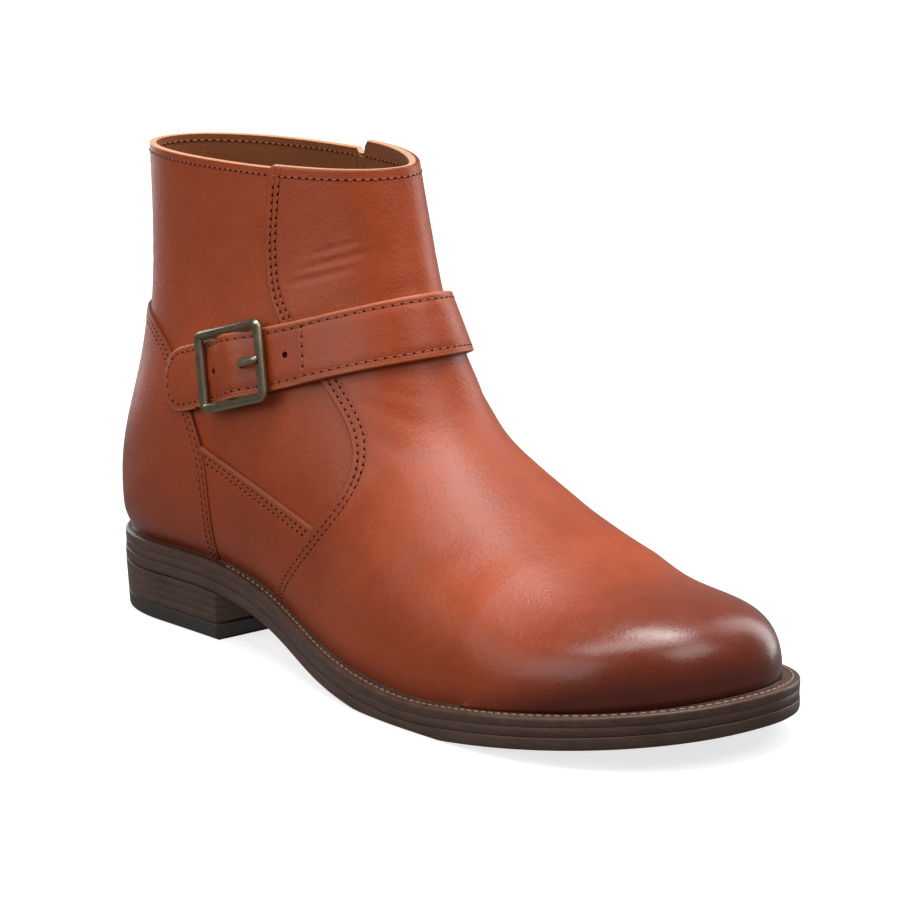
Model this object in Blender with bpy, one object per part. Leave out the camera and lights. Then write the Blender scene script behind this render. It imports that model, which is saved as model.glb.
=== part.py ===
"""Right engineer boot: welted sole, hollow upper with lapped panels, buckled ankle strap and a short side zip.

The upper is lofted through sections of the last. Every panel and strap is cut from that same form.
"""
import math

import bmesh
import bpy
import numpy as np
from mathutils import Matrix, Vector

MM = 0.001

# Driving dimensions in millimetres. X runs from the heel back to the toe, lateral is -Y, Z is up from the floor.
LENGTH = 305.0
BALL_WIDTH = 112.0
BOOT_HEIGHT = 171.0
HEEL_HEIGHT = 30.0
GAP = 0.3
SEAT_GAP = 0.45

# The last's own proportions.
LATERAL, MEDIAL = -1, 1
HEEL_BACK = 0.0125 * LENGTH
TOE_TIP = LENGTH - 7.5
TOE_PIVOT = 0.741 * LENGTH
TOE_SWING = 3.6
TOE_POWER = {LATERAL: 2.23, MEDIAL: 2.42}
TOE_CROWN = 2.35
TOE_DROOP = 2.1
HEEL_ROUND = 38.0
HEEL_POWER = 2.2
SIDE_SPLIT = 0.62

# The feather line, where the upper meets the welt: shares of length, heel height and ball width.
FEATHER_COLUMNS = ("x", "z", "lateral", "medial")
FEATHER = (
    (0.0125, 0.983, 0.254, 0.267),
    (0.1310, 0.973, 0.258, 0.267),
    (0.2560, 0.953, 0.272, 0.260),
    (0.3670, 0.760, 0.306, 0.253),
    (0.4920, 0.500, 0.402, 0.324),
    (0.6070, 0.360, 0.458, 0.385),
    (0.6820, 0.343, 0.467, 0.406),
    (0.7410, 0.400, 0.467, 0.408),
)

# A row for each section from the toe box to the collar: the ridge point as shares of length and boot height,
# half widths as shares of the ball width, where it is widest, and the roundness above and below that.
SECTION_COLUMNS = ("ridge_x", "ridge_z", "lateral", "medial", "widest", "crown", "seat")
SECTIONS = (
    (0.7410, 0.3210, 0.460, 0.409, 0.74, 2.25, 2.00),
    (0.6800, 0.3670, 0.453, 0.396, 0.74, 2.20, 2.00),
    (0.6120, 0.4385, 0.418, 0.360, 0.72, 2.10, 2.00),
    (0.5510, 0.5290, 0.378, 0.323, 0.68, 2.05, 2.05),
    (0.5165, 0.6370, 0.365, 0.316, 0.62, 2.00, 2.15),
    (0.4985, 0.7060, 0.361, 0.321, 0.58, 2.00, 2.25),
    (0.4885, 0.7470, 0.361, 0.323, 0.56, 2.00, 2.30),
    (0.4820, 0.7750, 0.360, 0.326, 0.55, 2.00, 2.35),
    (0.4770, 0.8030, 0.356, 0.326, 0.54, 2.00, 2.35),
    (0.4705, 0.8355, 0.338, 0.315, 0.53, 2.05, 2.35),
    (0.4635, 0.8765, 0.303, 0.293, 0.52, 2.10, 2.35),
    (0.4550, 0.9320, 0.283, 0.272, 0.52, 2.15, 2.30),
    (0.4440, 1.0000, 0.276, 0.263, 0.52, 2.20, 2.20),
)

# Where each section ends: on the feather line as far as the heel back, then up the back seam.
FOOT_ENDS = (0.741, 0.675, 0.590, 0.459, 0.302, 0.164, 0.079, 0.032, 0.0125)
BACK_ENDS = (0.1725, 0.304, 0.497, 0.731, 1.0)
HEEL_ROW = len(FOOT_ENDS) - 1
COLLAR_ROW = len(SECTIONS) - 1

# The back seam's profile: shares of boot height and length.
BACK_COLUMNS = ("z", "x")
BACK_SEAM = (
    (0.1725, 0.0125),
    (0.2340, 0.0080),
    (0.3040, 0.0080),
    (0.3980, 0.0180),
    (0.4970, 0.0330),
    (0.6140, 0.0455),
    (0.7310, 0.0500),
    (0.8770, 0.0472),
    (1.0000, 0.0420),
)

# Wall and panel thicknesses.
WALL = 2.4
PANEL = 1.1
PANEL_TOP = GAP + PANEL

# Sole layers from the welt down, and how far the sole stands out past the upper along the length.
WELT, MIDSOLE, OUTSOLE = 3.2, 2.8, 4.4
SOLE = WELT + MIDSOLE + OUTSOLE + 2 * GAP
EDGE_COLUMNS = ("x", "margin")
SOLE_EDGE = ((0.0, HEEL_BACK), (0.10, 4.6), (0.25, 4.8), (0.43, 5.2), (0.66, 7.0), (1.0, LENGTH - TOE_TIP))
WELT_REACH_IN = 9.0
MIDSOLE_INSET = 0.7
HEEL_BREAST = 0.256 * LENGTH
LIFT = 6.0
HEEL_TAPER = 1.2
INSOLE = 3.0
INSOLE_CLEAR = WALL + 2.4

# Panel edges in side view, as millimetres along the length and above the floor.
VAMP_EDGE = {
    LATERAL: ((102.5, 182.0), (101.0, 153.0), (102.2, 137.0), (110.5, 120.0), (133.5, 99.5), (146.0, 87.0),
              (150.8, 77.5), (150.0, 68.0), (142.5, 57.0), (129.0, 43.0), (112.5, 26.5), (104.0, 14.0)),
    MEDIAL: ((89.5, 182.0), (89.5, 153.0), (92.5, 137.0), (104.0, 120.0), (131.0, 99.5), (143.5, 87.0),
             (148.3, 77.5), (147.5, 68.0), (140.0, 57.0), (127.0, 43.0), (111.0, 26.5), (103.0, 14.0)),
}
COUNTER_EDGE = ((-12.0, 115.0), (13.0, 114.0), (31.0, 111.0), (45.0, 106.5), (56.0, 99.5), (65.0, 91.0),
                (72.5, 82.0), (78.5, 71.0), (80.8, 60.0), (80.8, 48.0), (78.5, 36.0), (74.5, 24.0), (70.0, 10.0))
WEDGE_TOP = ((76.0, 72.6), (105.0, 64.0), (150.0, 50.2))

# The ankle strap lies between two parallel planes that rise towards the front.
STRAP_RISE = 0.30
STRAP_AT = 100.0
STRAP_LOW, STRAP_HIGH = 92.0, 115.0
STRAP_LIFT = PANEL_TOP + GAP
BAND, TIP = 2.6, 1.6
BAND_ENDS = {LATERAL: 122.0, MEDIAL: 66.0}
TIP_END = 57.0
TIP_ROUND = 11.0

# The buckle in its own plane: along the strap, across it and off the surface.
BUCKLE_X, BUCKLE_Z = 95.5, 102.2
BUCKLE_ALONG, BUCKLE_ACROSS = 33.0, 29.0
BUCKLE_BAR = 2.4
BUCKLE_CORNER = 3.0
BUCKLE_LOW, BUCKLE_HIGH = 3.7, 6.2
CENTRE_LOW, CENTRE_HIGH = 2.0, 3.9
CENTRE_WIDTH = 2.0
STRAP_HUMP, HUMP_REACH = 3.1, 13.0
PRONG_HOLE, PRONG_HOLE_RADIUS = 4.9, 2.2
PRONG_RADIUS = 0.95
PRONG_PATH = ((2.4, 2.9), (4.5, 3.9), (6.2, 6.5), (9.0, 7.5), (15.8, 7.6))

# The zip, its slider and its hinged pull on the medial side.
ZIP_X, ZIP_WIDTH, ZIP_THICK = 85.8, 5.4, 1.1
ZIP_TOP, ZIP_BOTTOM = 169.5, 121.5
SLIDER_Z, SLIDER_SIZE = 162.0, (7.0, 10.0, 2.6)
SLIDER_LIFT = GAP + ZIP_THICK + GAP
BLOCK_WIDTH, BLOCK_RADIUS = 2.0, 1.7
PIN_HOLE, PIN_RADIUS = 0.9, 0.6
PULL_WIDTH, PULL_LENGTH, PULL_THICK = 5.4, 18.0, 1.4
FORK_GAP, FORK_LENGTH = 0.35, 4.6

LEATHER = (0.33, 0.085, 0.024)
SOLE_BROWN = (0.035, 0.018, 0.012)
SOLE_DARK = (0.018, 0.010, 0.008)
BRASS = (0.28, 0.22, 0.13)


def table(rows, columns, name):
    """One named column of a table."""
    return np.array([row[columns.index(name)] for row in rows])


def spline(stations, values):
    """Natural cubic through a column, straight beyond its ends."""
    xs, ys = np.asarray(stations, float), np.asarray(values, float)
    count = len(xs)
    step = np.diff(xs)
    rise = np.diff(ys) / step
    system = np.eye(count)
    right = np.zeros(count)
    for i in range(1, count - 1):
        system[i, i - 1:i + 2] = step[i - 1], 2 * (step[i - 1] + step[i]), step[i]
        right[i] = 6 * (rise[i] - rise[i - 1])
    bend = np.linalg.solve(system, right)
    first = rise[0] - step[0] * (2 * bend[0] + bend[1]) / 6
    last = rise[-1] + step[-1] * (bend[-2] + 2 * bend[-1]) / 6

    def curve(x):
        x = np.asarray(x, float)
        i = np.clip(np.searchsorted(xs, x) - 1, 0, count - 2)
        t = np.clip(x, xs[0], xs[-1]) - xs[i]
        slope = rise[i] - step[i] * (2 * bend[i] + bend[i + 1]) / 6
        inside = ys[i] + slope * t + bend[i] * t * t / 2 + (bend[i + 1] - bend[i]) * t ** 3 / (6 * step[i])
        return inside + first * np.minimum(x - xs[0], 0) + last * np.maximum(x - xs[-1], 0)
    return curve


def steady(stations, values):
    """Cubic that never turns back between its values."""
    xs, ys = np.asarray(stations, float), np.asarray(values, float)
    step = np.diff(xs)
    rise = np.diff(ys) / step
    slope = np.zeros(len(xs))
    same = rise[:-1] * rise[1:] > 0
    slope[1:-1][same] = 2 * rise[:-1][same] * rise[1:][same] / (rise[:-1][same] + rise[1:][same])
    slope[0], slope[-1] = rise[0], rise[-1]

    def curve(x):
        i = int(np.clip(np.searchsorted(xs, x) - 1, 0, len(step) - 1))
        t = (x - xs[i]) / step[i]
        ends = ys[i] * (1 + 2 * t) * (1 - t) ** 2 + ys[i + 1] * t * t * (3 - 2 * t)
        return ends + step[i] * (slope[i] * t * (1 - t) ** 2 + slope[i + 1] * t * t * (t - 1))
    return curve


feather_x = table(FEATHER, FEATHER_COLUMNS, "x") * LENGTH
feather_height = spline(feather_x, table(FEATHER, FEATHER_COLUMNS, "z") * HEEL_HEIGHT)
feather_half = {LATERAL: spline(feather_x, table(FEATHER, FEATHER_COLUMNS, "lateral") * BALL_WIDTH),
                MEDIAL: spline(feather_x, table(FEATHER, FEATHER_COLUMNS, "medial") * BALL_WIDTH)}
SECTION_SCALE = dict(ridge_x=LENGTH, ridge_z=BOOT_HEIGHT, lateral=BALL_WIDTH, medial=BALL_WIDTH)
section_curve = {name: spline(range(len(SECTIONS)), table(SECTIONS, SECTION_COLUMNS, name) * SECTION_SCALE.get(name, 1))
                 for name in SECTION_COLUMNS}
foot_end = steady(range(HEEL_ROW + 2), np.array(FOOT_ENDS + FOOT_ENDS[-1:]) * LENGTH)
back_end = steady(range(HEEL_ROW, COLLAR_ROW + 1), np.array(BACK_ENDS) * BOOT_HEIGHT)
back_seam = spline(table(BACK_SEAM, BACK_COLUMNS, "z") * BOOT_HEIGHT, table(BACK_SEAM, BACK_COLUMNS, "x") * LENGTH)
sole_margin = spline(table(SOLE_EDGE, EDGE_COLUMNS, "x") * LENGTH, table(SOLE_EDGE, EDGE_COLUMNS, "margin"))


def feather_edge(x, side):
    """The feather line's Y at a place along the length: round at the heel, a drawn-out oval at the toe."""
    half = side * feather_half[side](np.clip(x, HEEL_BACK, TOE_PIVOT))
    heel = np.clip((HEEL_BACK + HEEL_ROUND - x) / HEEL_ROUND, 0, 1)
    toe = np.clip((x - TOE_PIVOT) / (TOE_TIP - TOE_PIVOT), 0, 1)
    power = TOE_POWER[side]
    at_heel = half * (1 - heel ** HEEL_POWER) ** (1 / HEEL_POWER)
    at_toe = TOE_SWING + (half - TOE_SWING) * (1 - toe ** power) ** (1 / power)
    return np.where(x > TOE_PIVOT, at_toe, at_heel)


def section(row):
    """Sizes of the section at a row: ridge point, end point, half widths, roundness and sideways swing.

    Rows -1 to 0 fan round the toe, rows 0 to HEEL_ROW end on the feather line, later ones on the back seam.
    """
    size = {name: float(curve(max(row, 0))) for name, curve in section_curve.items()}
    ridge = np.array([size["ridge_x"], size["ridge_z"]])
    wide = {LATERAL: size["lateral"], MEDIAL: size["medial"]}
    crown = {LATERAL: size["crown"], MEDIAL: size["crown"]}
    widest, swing = size["widest"], 0.5 * TOE_SWING * max(0, 1 - row / 4) ** 1.5
    if row < HEEL_ROW:
        foot_x = foot_end(max(row, 0))
        end = np.array([foot_x, float(feather_height(foot_x))])
        half = {side: abs(float(feather_edge(foot_x, side))) for side in (LATERAL, MEDIAL)}
    else:
        back_z = back_end(row)
        end = np.array([float(back_seam(back_z)), back_z])
        half = {LATERAL: 0.0, MEDIAL: 0.0}
    if row < 0:
        fan = (row + 1) * math.pi / 2
        ease = math.sin(fan)
        reach, box = TOE_TIP - TOE_PIVOT, ridge[1] - end[1]
        step = 0.001
        climb = (section_curve["ridge_z"](step) - ridge[1]) / (ridge[0] - section_curve["ridge_x"](step))
        spring = (feather_height(TOE_TIP) - end[1]) / reach
        radius = ((math.cos(fan) / reach) ** TOE_CROWN + (ease / box) ** TOE_CROWN) ** (-1 / TOE_CROWN)
        lean = spring - (climb + spring) * ease ** TOE_DROOP
        ridge = end + radius * np.array([math.cos(fan), ease + math.cos(fan) * float(lean)])
        wide = {side: half[side] + (wide[side] - half[side]) * ease for side in wide}
        crown = {side: TOE_POWER[side] + (crown[side] - TOE_POWER[side]) * ease for side in crown}
        widest, swing = 1 - (1 - widest) * ease, TOE_SWING * (1 - 0.5 * ease)
    return ridge, end, half, wide, widest, crown, size["seat"], swing


def last_points(row, places):
    """Points of the last on one section. A place runs from -1, the lateral end, over the ridge at 0, to 1."""
    ridge, end, half, wide, widest, crown, seat, swing = section(row)
    places = np.asarray(places, float)
    points = np.zeros((len(places), 3))
    for side in (LATERAL, MEDIAL):
        chosen = places <= 0 if side == LATERAL else places > 0
        place = np.abs(places[chosen])
        at_end = half[side] - side * swing if half[side] > 0 else 0.0
        at_widest = max(wide[side] - side * swing, at_end + 0.02)
        over = np.clip(place / SIDE_SPLIT, 0, 1) * math.pi / 2
        upper_depth = widest * (1 - np.cos(over) ** (2 / crown[side]))
        upper_width = at_widest * np.sin(over) ** (2 / crown[side])
        turn = math.acos((at_end / at_widest) ** (seat / 2))
        under = np.clip((place - SIDE_SPLIT) / (1 - SIDE_SPLIT), 0, 1) * turn
        lower_depth = widest + (1 - widest) * (np.sin(under) / math.sin(turn)) ** (2 / seat)
        lower_width = at_widest * np.maximum(np.cos(under), 0) ** (2 / seat)
        low = place > SIDE_SPLIT
        depth, width = np.where(low, lower_depth, upper_depth), np.where(low, lower_width, upper_width)
        points[chosen, 0] = ridge[0] + depth * (end[0] - ridge[0])
        points[chosen, 1] = swing + side * width
        points[chosen, 2] = ridge[1] + depth * (end[1] - ridge[1])
    return points


def last_normals(row, places):
    """Outward directions of the last at the same points."""
    step = 0.002
    places = np.asarray(places, float)
    inner = np.clip(places, -0.985, 0.985) if row < HEEL_ROW else places
    if row < 0:
        at_pivot = np.abs(places) > 0.999
        if at_pivot.any() and row > -1:
            outward = last_normals(row, np.where(at_pivot, 0, places))
            outward[at_pivot] = last_normals(0, places[at_pivot])
            return outward
    along = last_points(row + step, inner) - last_points(max(row - step, -1), inner)
    across = last_points(row, inner + step) - last_points(row, inner - step)
    outward = np.cross(across, along)
    return outward / np.linalg.norm(outward, axis=1)[:, None]


def lifted(row, places, lift):
    """Points lifted off the last along its outward direction."""
    return last_points(row, places) + last_normals(row, places) * np.asarray(lift).reshape(-1, 1)


def on_strap(place, level):
    """The row where a section place crosses a plane parallel to the strap."""
    low, high = 0.0, float(COLLAR_ROW)
    for _ in range(40):
        middle = (low + high) / 2
        x, _, z = last_points(middle, [place])[0]
        if z - STRAP_RISE * (x - STRAP_AT) < level:
            low = middle
        else:
            high = middle
    return (low + high) / 2


def place_at(x, level, side):
    """The section place on one side whose crossing of the strap plane is at x."""
    near, far = 0.05, 0.98
    for _ in range(40):
        middle = (near + far) / 2
        if last_points(on_strap(side * middle, level), [side * middle])[0][0] > x:
            near = middle
        else:
            far = middle
    return side * (near + far) / 2


def side_point(x, z, side):
    """The row and place on one side that has this X and Z."""
    level = z - STRAP_RISE * (x - STRAP_AT)
    place = place_at(x, level, side)
    return on_strap(place, level), place


for old in list(bpy.data.objects):
    bpy.data.objects.remove(old, do_unlink=True)

boot_parts = bpy.data.collections.new("engineer_boot")
cutters = bpy.data.collections.new("cutters")
for group in (boot_parts, cutters):
    bpy.context.scene.collection.children.link(group)
boot = bpy.data.objects.new("boot", None)
boot_parts.objects.link(boot)


def finish(name, colour, roughness, metallic=0.0):
    """A Principled material in the piece's colour."""
    material = bpy.data.materials.new(name)
    material.use_nodes = True
    shader = material.node_tree.nodes["Principled BSDF"]
    shader.inputs["Base Color"].default_value = (*colour, 1.0)
    shader.inputs["Roughness"].default_value = roughness
    shader.inputs["Metallic"].default_value = metallic
    return material


def add_part(name, mesh, material, location=(0, 0, 0)):
    """A named piece of the boot, carried by its empty."""
    part = bpy.data.objects.new(name, mesh)
    mesh.materials.append(material)
    mesh.shade_smooth()
    mesh.set_sharp_from_angle(angle=math.radians(35))
    boot_parts.objects.link(part)
    part.parent = boot
    part.location = Vector(location) * MM
    return part


def add_cutter(name, mesh):
    """A cutting form, kept out of the boot itself."""
    cutter = bpy.data.objects.new(name, mesh)
    cutters.objects.link(cutter)
    cutter.parent = boot
    cutter.hide_render = True
    cutter.display_type = "WIRE"
    return cutter


def cut(part, cutter, operation):
    """A Boolean between a part and a cutter."""
    boolean = part.modifiers.new(f"{operation.lower()}_{cutter.name}", "BOOLEAN")
    boolean.operation = operation
    boolean.solver = "EXACT"
    boolean.object = cutter


def shell_mesh(name, outer_rows, inner_rows):
    """A closed wall between two matching sheets of points, with the sheets' shared points joined."""
    mesh = bpy.data.meshes.new(name)
    form = bmesh.new()
    pairs, numbers = {}, []
    for outer_row, inner_row in zip(outer_rows, inner_rows):
        numbers.append([])
        for outer, inner in zip(outer_row, inner_row):
            key = tuple(np.round(outer, 2) + 0.0)
            if key not in pairs:
                pairs[key] = (form.verts.new(Vector(outer) * MM), form.verts.new(Vector(inner) * MM))
            numbers[-1].append(key)
    edges = set()
    for low, high in zip(numbers[:-1], numbers[1:]):
        for i in range(len(low) - 1):
            for corners in ((low[i], low[i + 1], high[i + 1]), (low[i], high[i + 1], high[i])):
                if len(set(corners)) == 3:
                    form.faces.new([pairs[key][0] for key in corners])
                    form.faces.new([pairs[key][1] for key in corners[::-1]])
                    edges.update(zip(corners, corners[1:] + corners[:1]))
    for start, stop in sorted(edges):
        if (stop, start) not in edges:
            form.faces.new((pairs[stop][0], pairs[start][0], pairs[start][1], pairs[stop][1]))
    form.to_mesh(mesh)
    form.free()
    return mesh


def prism_mesh(name, outline, near, far):
    """A side-view outline carried across the boot from Y near to Y far, as a closed mesh."""
    curve = bpy.data.curves.new(name, "CURVE")
    curve.dimensions = "2D"
    curve.fill_mode = "BOTH"
    curve.extrude = (far - near) / 2 * MM
    line = curve.splines.new("POLY")
    line.points.add(len(outline) - 1)
    for point, (x, z) in zip(line.points, outline):
        point.co = (x * MM, z * MM, 0, 1)
    line.use_cyclic_u = True
    guide = bpy.data.objects.new(name, curve)
    bpy.context.scene.collection.objects.link(guide)
    guide.matrix_world = Matrix.Translation((0, (near + far) / 2 * MM, 0)) @ Matrix.Rotation(math.pi / 2, 4, "X")
    bpy.context.view_layer.update()
    evaluated = guide.evaluated_get(bpy.context.evaluated_depsgraph_get())
    mesh = bpy.data.meshes.new_from_object(evaluated)
    mesh.transform(guide.matrix_world)
    bpy.data.objects.remove(guide, do_unlink=True)
    weld(mesh)
    return mesh


def weld(mesh):
    """Join a mesh's caps to its sides and face it outward."""
    form = bmesh.new()
    form.from_mesh(mesh)
    bmesh.ops.remove_doubles(form, verts=form.verts[:], dist=0.00001)
    bmesh.ops.recalc_face_normals(form, faces=form.faces[:])
    form.to_mesh(mesh)
    form.free()


def smooth_edge(points, per_span=5):
    """A smooth line through the points of a side-view edge."""
    spans = np.arange(len(points))
    fine = np.linspace(0, len(points) - 1, per_span * (len(points) - 1) + 1)
    xs, zs = (spline(spans, [point[i] for point in points])(fine) for i in range(2))
    return list(zip(xs, zs))


def sole_outline(margin, count=42, until=None):
    """Lateral and medial points of the feather line grown outward by a margin, from heel back to toe."""
    turn = np.linspace(0, math.pi, count)
    front = TOE_TIP if until is None else until
    xs = HEEL_BACK + (front - HEEL_BACK) * (1 - np.cos(turn)) / 2
    if until is not None:
        xs = HEEL_BACK + (front - HEEL_BACK) * (1 - np.cos(turn / 2))
    sides = []
    for side in (LATERAL, MEDIAL):
        line = np.column_stack([xs, feather_edge(xs, side)])
        run = np.gradient(line, axis=0)
        run[0] = (0, side)
        if until is None:
            run[-1] = (0, -side)
        run /= np.linalg.norm(run, axis=1)[:, None]
        outward = side * np.column_stack([-run[:, 1], run[:, 0]])
        sides.append(line + outward * np.asarray(margin(xs)).reshape(-1, 1))
    return sides


def plate_mesh(name, upper_sides, lower_sides, top, bottom):
    """A closed plate between two outlines, with its top and bottom heights given along the length."""
    mesh = bpy.data.meshes.new(name)
    form = bmesh.new()
    rings = []
    for sides, height in ((upper_sides, top), (lower_sides, bottom)):
        rings.append([[form.verts.new(Vector((x, y, float(height(x)))) * MM) for x, y in side] for side in sides])
    (top_lateral, top_medial), (low_lateral, low_medial) = rings
    for i in range(len(top_lateral) - 1):
        j = i + 1
        form.faces.new((top_lateral[i], top_lateral[j], top_medial[j], top_medial[i]))
        form.faces.new((low_lateral[i], low_medial[i], low_medial[j], low_lateral[j]))
        form.faces.new((top_lateral[i], low_lateral[i], low_lateral[j], top_lateral[j]))
        form.faces.new((top_medial[i], top_medial[j], low_medial[j], low_medial[i]))
    form.faces.new((top_lateral[-1], low_lateral[-1], low_medial[-1], top_medial[-1]))
    bmesh.ops.remove_doubles(form, verts=form.verts[:], dist=0.00001)
    bmesh.ops.recalc_face_normals(form, faces=form.faces[:])
    form.to_mesh(mesh)
    form.free()
    return mesh


def box_mesh(name, sizes, middle=(0, 0, 0), bevel=0.0):
    """A block from a cube primitive, with rounded edges."""
    mesh = bpy.data.meshes.new(name)
    form = bmesh.new()
    bmesh.ops.create_cube(form, size=1.0)
    bmesh.ops.scale(form, vec=Vector(sizes) * MM, verts=form.verts[:])
    bmesh.ops.translate(form, vec=Vector(middle) * MM, verts=form.verts[:])
    if bevel:
        bmesh.ops.bevel(form, geom=form.edges[:], offset=bevel * MM, segments=1, affect="EDGES")
    form.to_mesh(mesh)
    form.free()
    return mesh


def rod_mesh(name, radius, length, middle, axis, sides=16):
    """A round rod from a cone primitive, along X or along Z."""
    mesh = bpy.data.meshes.new(name)
    form = bmesh.new()
    bmesh.ops.create_cone(form, cap_ends=True, segments=sides, radius1=radius * MM, radius2=radius * MM,
                          depth=length * MM)
    if axis == "X":
        bmesh.ops.rotate(form, matrix=Matrix.Rotation(math.pi / 2, 3, "Y"), verts=form.verts[:])
    bmesh.ops.translate(form, vec=Vector(middle) * MM, verts=form.verts[:])
    form.to_mesh(mesh)
    form.free()
    return mesh


leather = finish("leather", LEATHER, 0.45)
sole_brown = finish("sole_edge", SOLE_BROWN, 0.5)
sole_dark = finish("heel_rubber", SOLE_DARK, 0.6)
brass = finish("aged_brass", BRASS, 0.4, 0.9)
insole_leather = finish("insole_leather", (0.30, 0.12, 0.05), 0.7)

# Sole: welt, midsole and outsole follow the feather line down, flat at the ball.


def welt_top(x):
    return feather_height(x) - SEAT_GAP


def midsole_top(x):
    return welt_top(x) - WELT - GAP


def outsole_top(x):
    return midsole_top(x) - MIDSOLE - GAP


def outsole_bottom(x):
    return np.maximum(outsole_top(x) - OUTSOLE, 0)


def lift_top(x):
    return LIFT


def floor(x):
    return 0.0


def edge_margin(inset):
    return lambda x: sole_margin(x) - inset


full_edge = sole_outline(edge_margin(0))
inset_edge = sole_outline(edge_margin(MIDSOLE_INSET))
add_part("outsole", plate_mesh("outsole", full_edge, full_edge, outsole_top, outsole_bottom), sole_brown)
add_part("midsole", plate_mesh("midsole", inset_edge, inset_edge, midsole_top, lambda x: midsole_top(x) - MIDSOLE),
         sole_brown)

# Welt: a strip under the upper's edge, standing out past it.
inner_edge = sole_outline(lambda x: -WELT_REACH_IN + 0 * x)
welt = add_part("welt", plate_mesh("welt", full_edge, full_edge, welt_top, lambda x: welt_top(x) - WELT), sole_brown)
welt_inside = add_cutter("welt_inside", plate_mesh("welt_inside", inner_edge, inner_edge,
                                                   lambda x: welt_top(x) + WELT, lambda x: welt_top(x) - 2 * WELT))
cut(welt, welt_inside, "DIFFERENCE")

# Heel: a stack under the outsole, tapering to its rubber lift.
heel_share = (LIFT + GAP) / (HEEL_HEIGHT - SOLE)
heel_top = sole_outline(edge_margin(0), 18, HEEL_BREAST)
heel_middle = sole_outline(edge_margin(HEEL_TAPER * (1 - heel_share)), 18, HEEL_BREAST - HEEL_TAPER * (1 - heel_share))
heel_low = sole_outline(edge_margin(HEEL_TAPER), 18, HEEL_BREAST - HEEL_TAPER)
add_part("heel_stack", plate_mesh("heel_stack", heel_top, heel_middle, lambda x: outsole_bottom(x) - GAP,
                                  lambda x: LIFT + GAP), sole_brown)
add_part("heel_lift", plate_mesh("heel_lift", heel_middle, heel_low, lift_top, floor), sole_dark)

# Insole: the footbed inside the upper's wall.
footbed = sole_outline(lambda x: -INSOLE_CLEAR + 0 * x)
add_part("insole", plate_mesh("insole", footbed, footbed, lambda x: feather_height(x) + 2 * GAP + INSOLE,
                              lambda x: feather_height(x) + 2 * GAP), insole_leather)

# Upper: one hollow wall through the sections, open at the collar and underneath.
FAN_ROWS = np.linspace(-1, 0, 8)[:-1]
BODY_ROWS = np.concatenate([np.linspace(0, 4, 13), np.linspace(4, HEEL_ROW, 9)[1:],
                            np.linspace(HEEL_ROW, COLLAR_ROW, 9)[1:]])
ROWS = np.concatenate([FAN_ROWS, BODY_ROWS])
HALF_PLACES = np.concatenate([np.linspace(0, SIDE_SPLIT, 8), np.linspace(SIDE_SPLIT, 1, 7)[1:]])
PLACES = np.concatenate([-HALF_PLACES[::-1], HALF_PLACES[1:]])
VAMP_STAND = 0.1


def inside_wall(row):
    """The wall's inner face, never lower than the feather line."""
    points = lifted(row, PLACES, -WALL)
    points[:, 2] = np.maximum(points[:, 2], feather_height(points[:, 0]))
    return points


add_part("upper", shell_mesh("upper", [last_points(row, PLACES) for row in ROWS],
                             [inside_wall(row) for row in ROWS]), leather)

# Panels: each is a layer of the upper's own form, stopped above the welt and cut to its edges in side view.
BEHIND, BELOW, BESIDE = -30.0, -20.0, 90.0


def clears_welt(row, place):
    point = lifted(row, [place], PANEL_TOP)[0]
    return point[2] > feather_height(point[0]) + 0.1


def panel_places(row):
    """Places along a panel's row, stopped short where the panel would lean down onto the welt."""
    places = PLACES.copy()
    for end, side in ((0, LATERAL), (-1, MEDIAL)):
        if 0 <= row <= HEEL_ROW and not clears_welt(row, side):
            low, high = HALF_PLACES[-2] + 0.005, 1.0
            for _ in range(20):
                middle = (low + high) / 2
                low, high = (middle, high) if clears_welt(row, side * middle) else (low, middle)
            places[end] = side * low
    return places


def add_panel(name, rows):
    sheets = [[lifted(row, panel_places(row), height) for row in rows] for height in (PANEL_TOP, GAP)]
    return add_part(name, shell_mesh(name, *sheets), leather)


vamp = add_panel("vamp_panel", np.append(ROWS, COLLAR_ROW + VAMP_STAND))
for side, span in ((LATERAL, (-BESIDE, 1.0)), (MEDIAL, (-1.0, BESIDE))):
    line = smooth_edge(VAMP_EDGE[side])
    rear = line + [(line[-1][0], BELOW), (BEHIND, BELOW), (BEHIND, line[0][1])]
    cut(vamp, add_cutter(f"behind_vamp_{side}", prism_mesh("behind_vamp", rear, *span)), "DIFFERENCE")

counter = add_panel("counter_panel", [row for row in ROWS if 3.9 < row < 11.1])
counter_line = smooth_edge(COUNTER_EDGE)
counter_form = add_cutter("counter_form", prism_mesh(
    "counter_form", counter_line + [(BEHIND, BELOW), (BEHIND, counter_line[0][1])], -BESIDE, BESIDE))
cut(counter, counter_form, "INTERSECT")

for side, name, span in ((LATERAL, "side_panel_lateral", (-BESIDE, -5.0)), (MEDIAL, "side_panel_medial", (5.0, BESIDE))):
    wedge = add_panel(name, [row for row in ROWS if 1.9 < row < 7.6])
    wedge_top = spline(*zip(*WEDGE_TOP))
    front = [(x - 0.6, z) for x, z in smooth_edge(VAMP_EDGE[side]) if z < wedge_top(x)]
    rear = [(x + 0.6, z) for x, z in counter_line if z < wedge_top(x) and x > WEDGE_TOP[0][0] - 15]
    corners = [(front[0][0], float(wedge_top(front[0][0]))), (rear[0][0], float(wedge_top(rear[0][0])))]
    outline = [corners[1]] + rear + [(rear[-1][0], BELOW), (front[-1][0], BELOW)] + front[::-1] + [corners[0]]
    cut(wedge, add_cutter(f"{name}_form", prism_mesh("wedge_form", outline, *span)), "INTERSECT")

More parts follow.
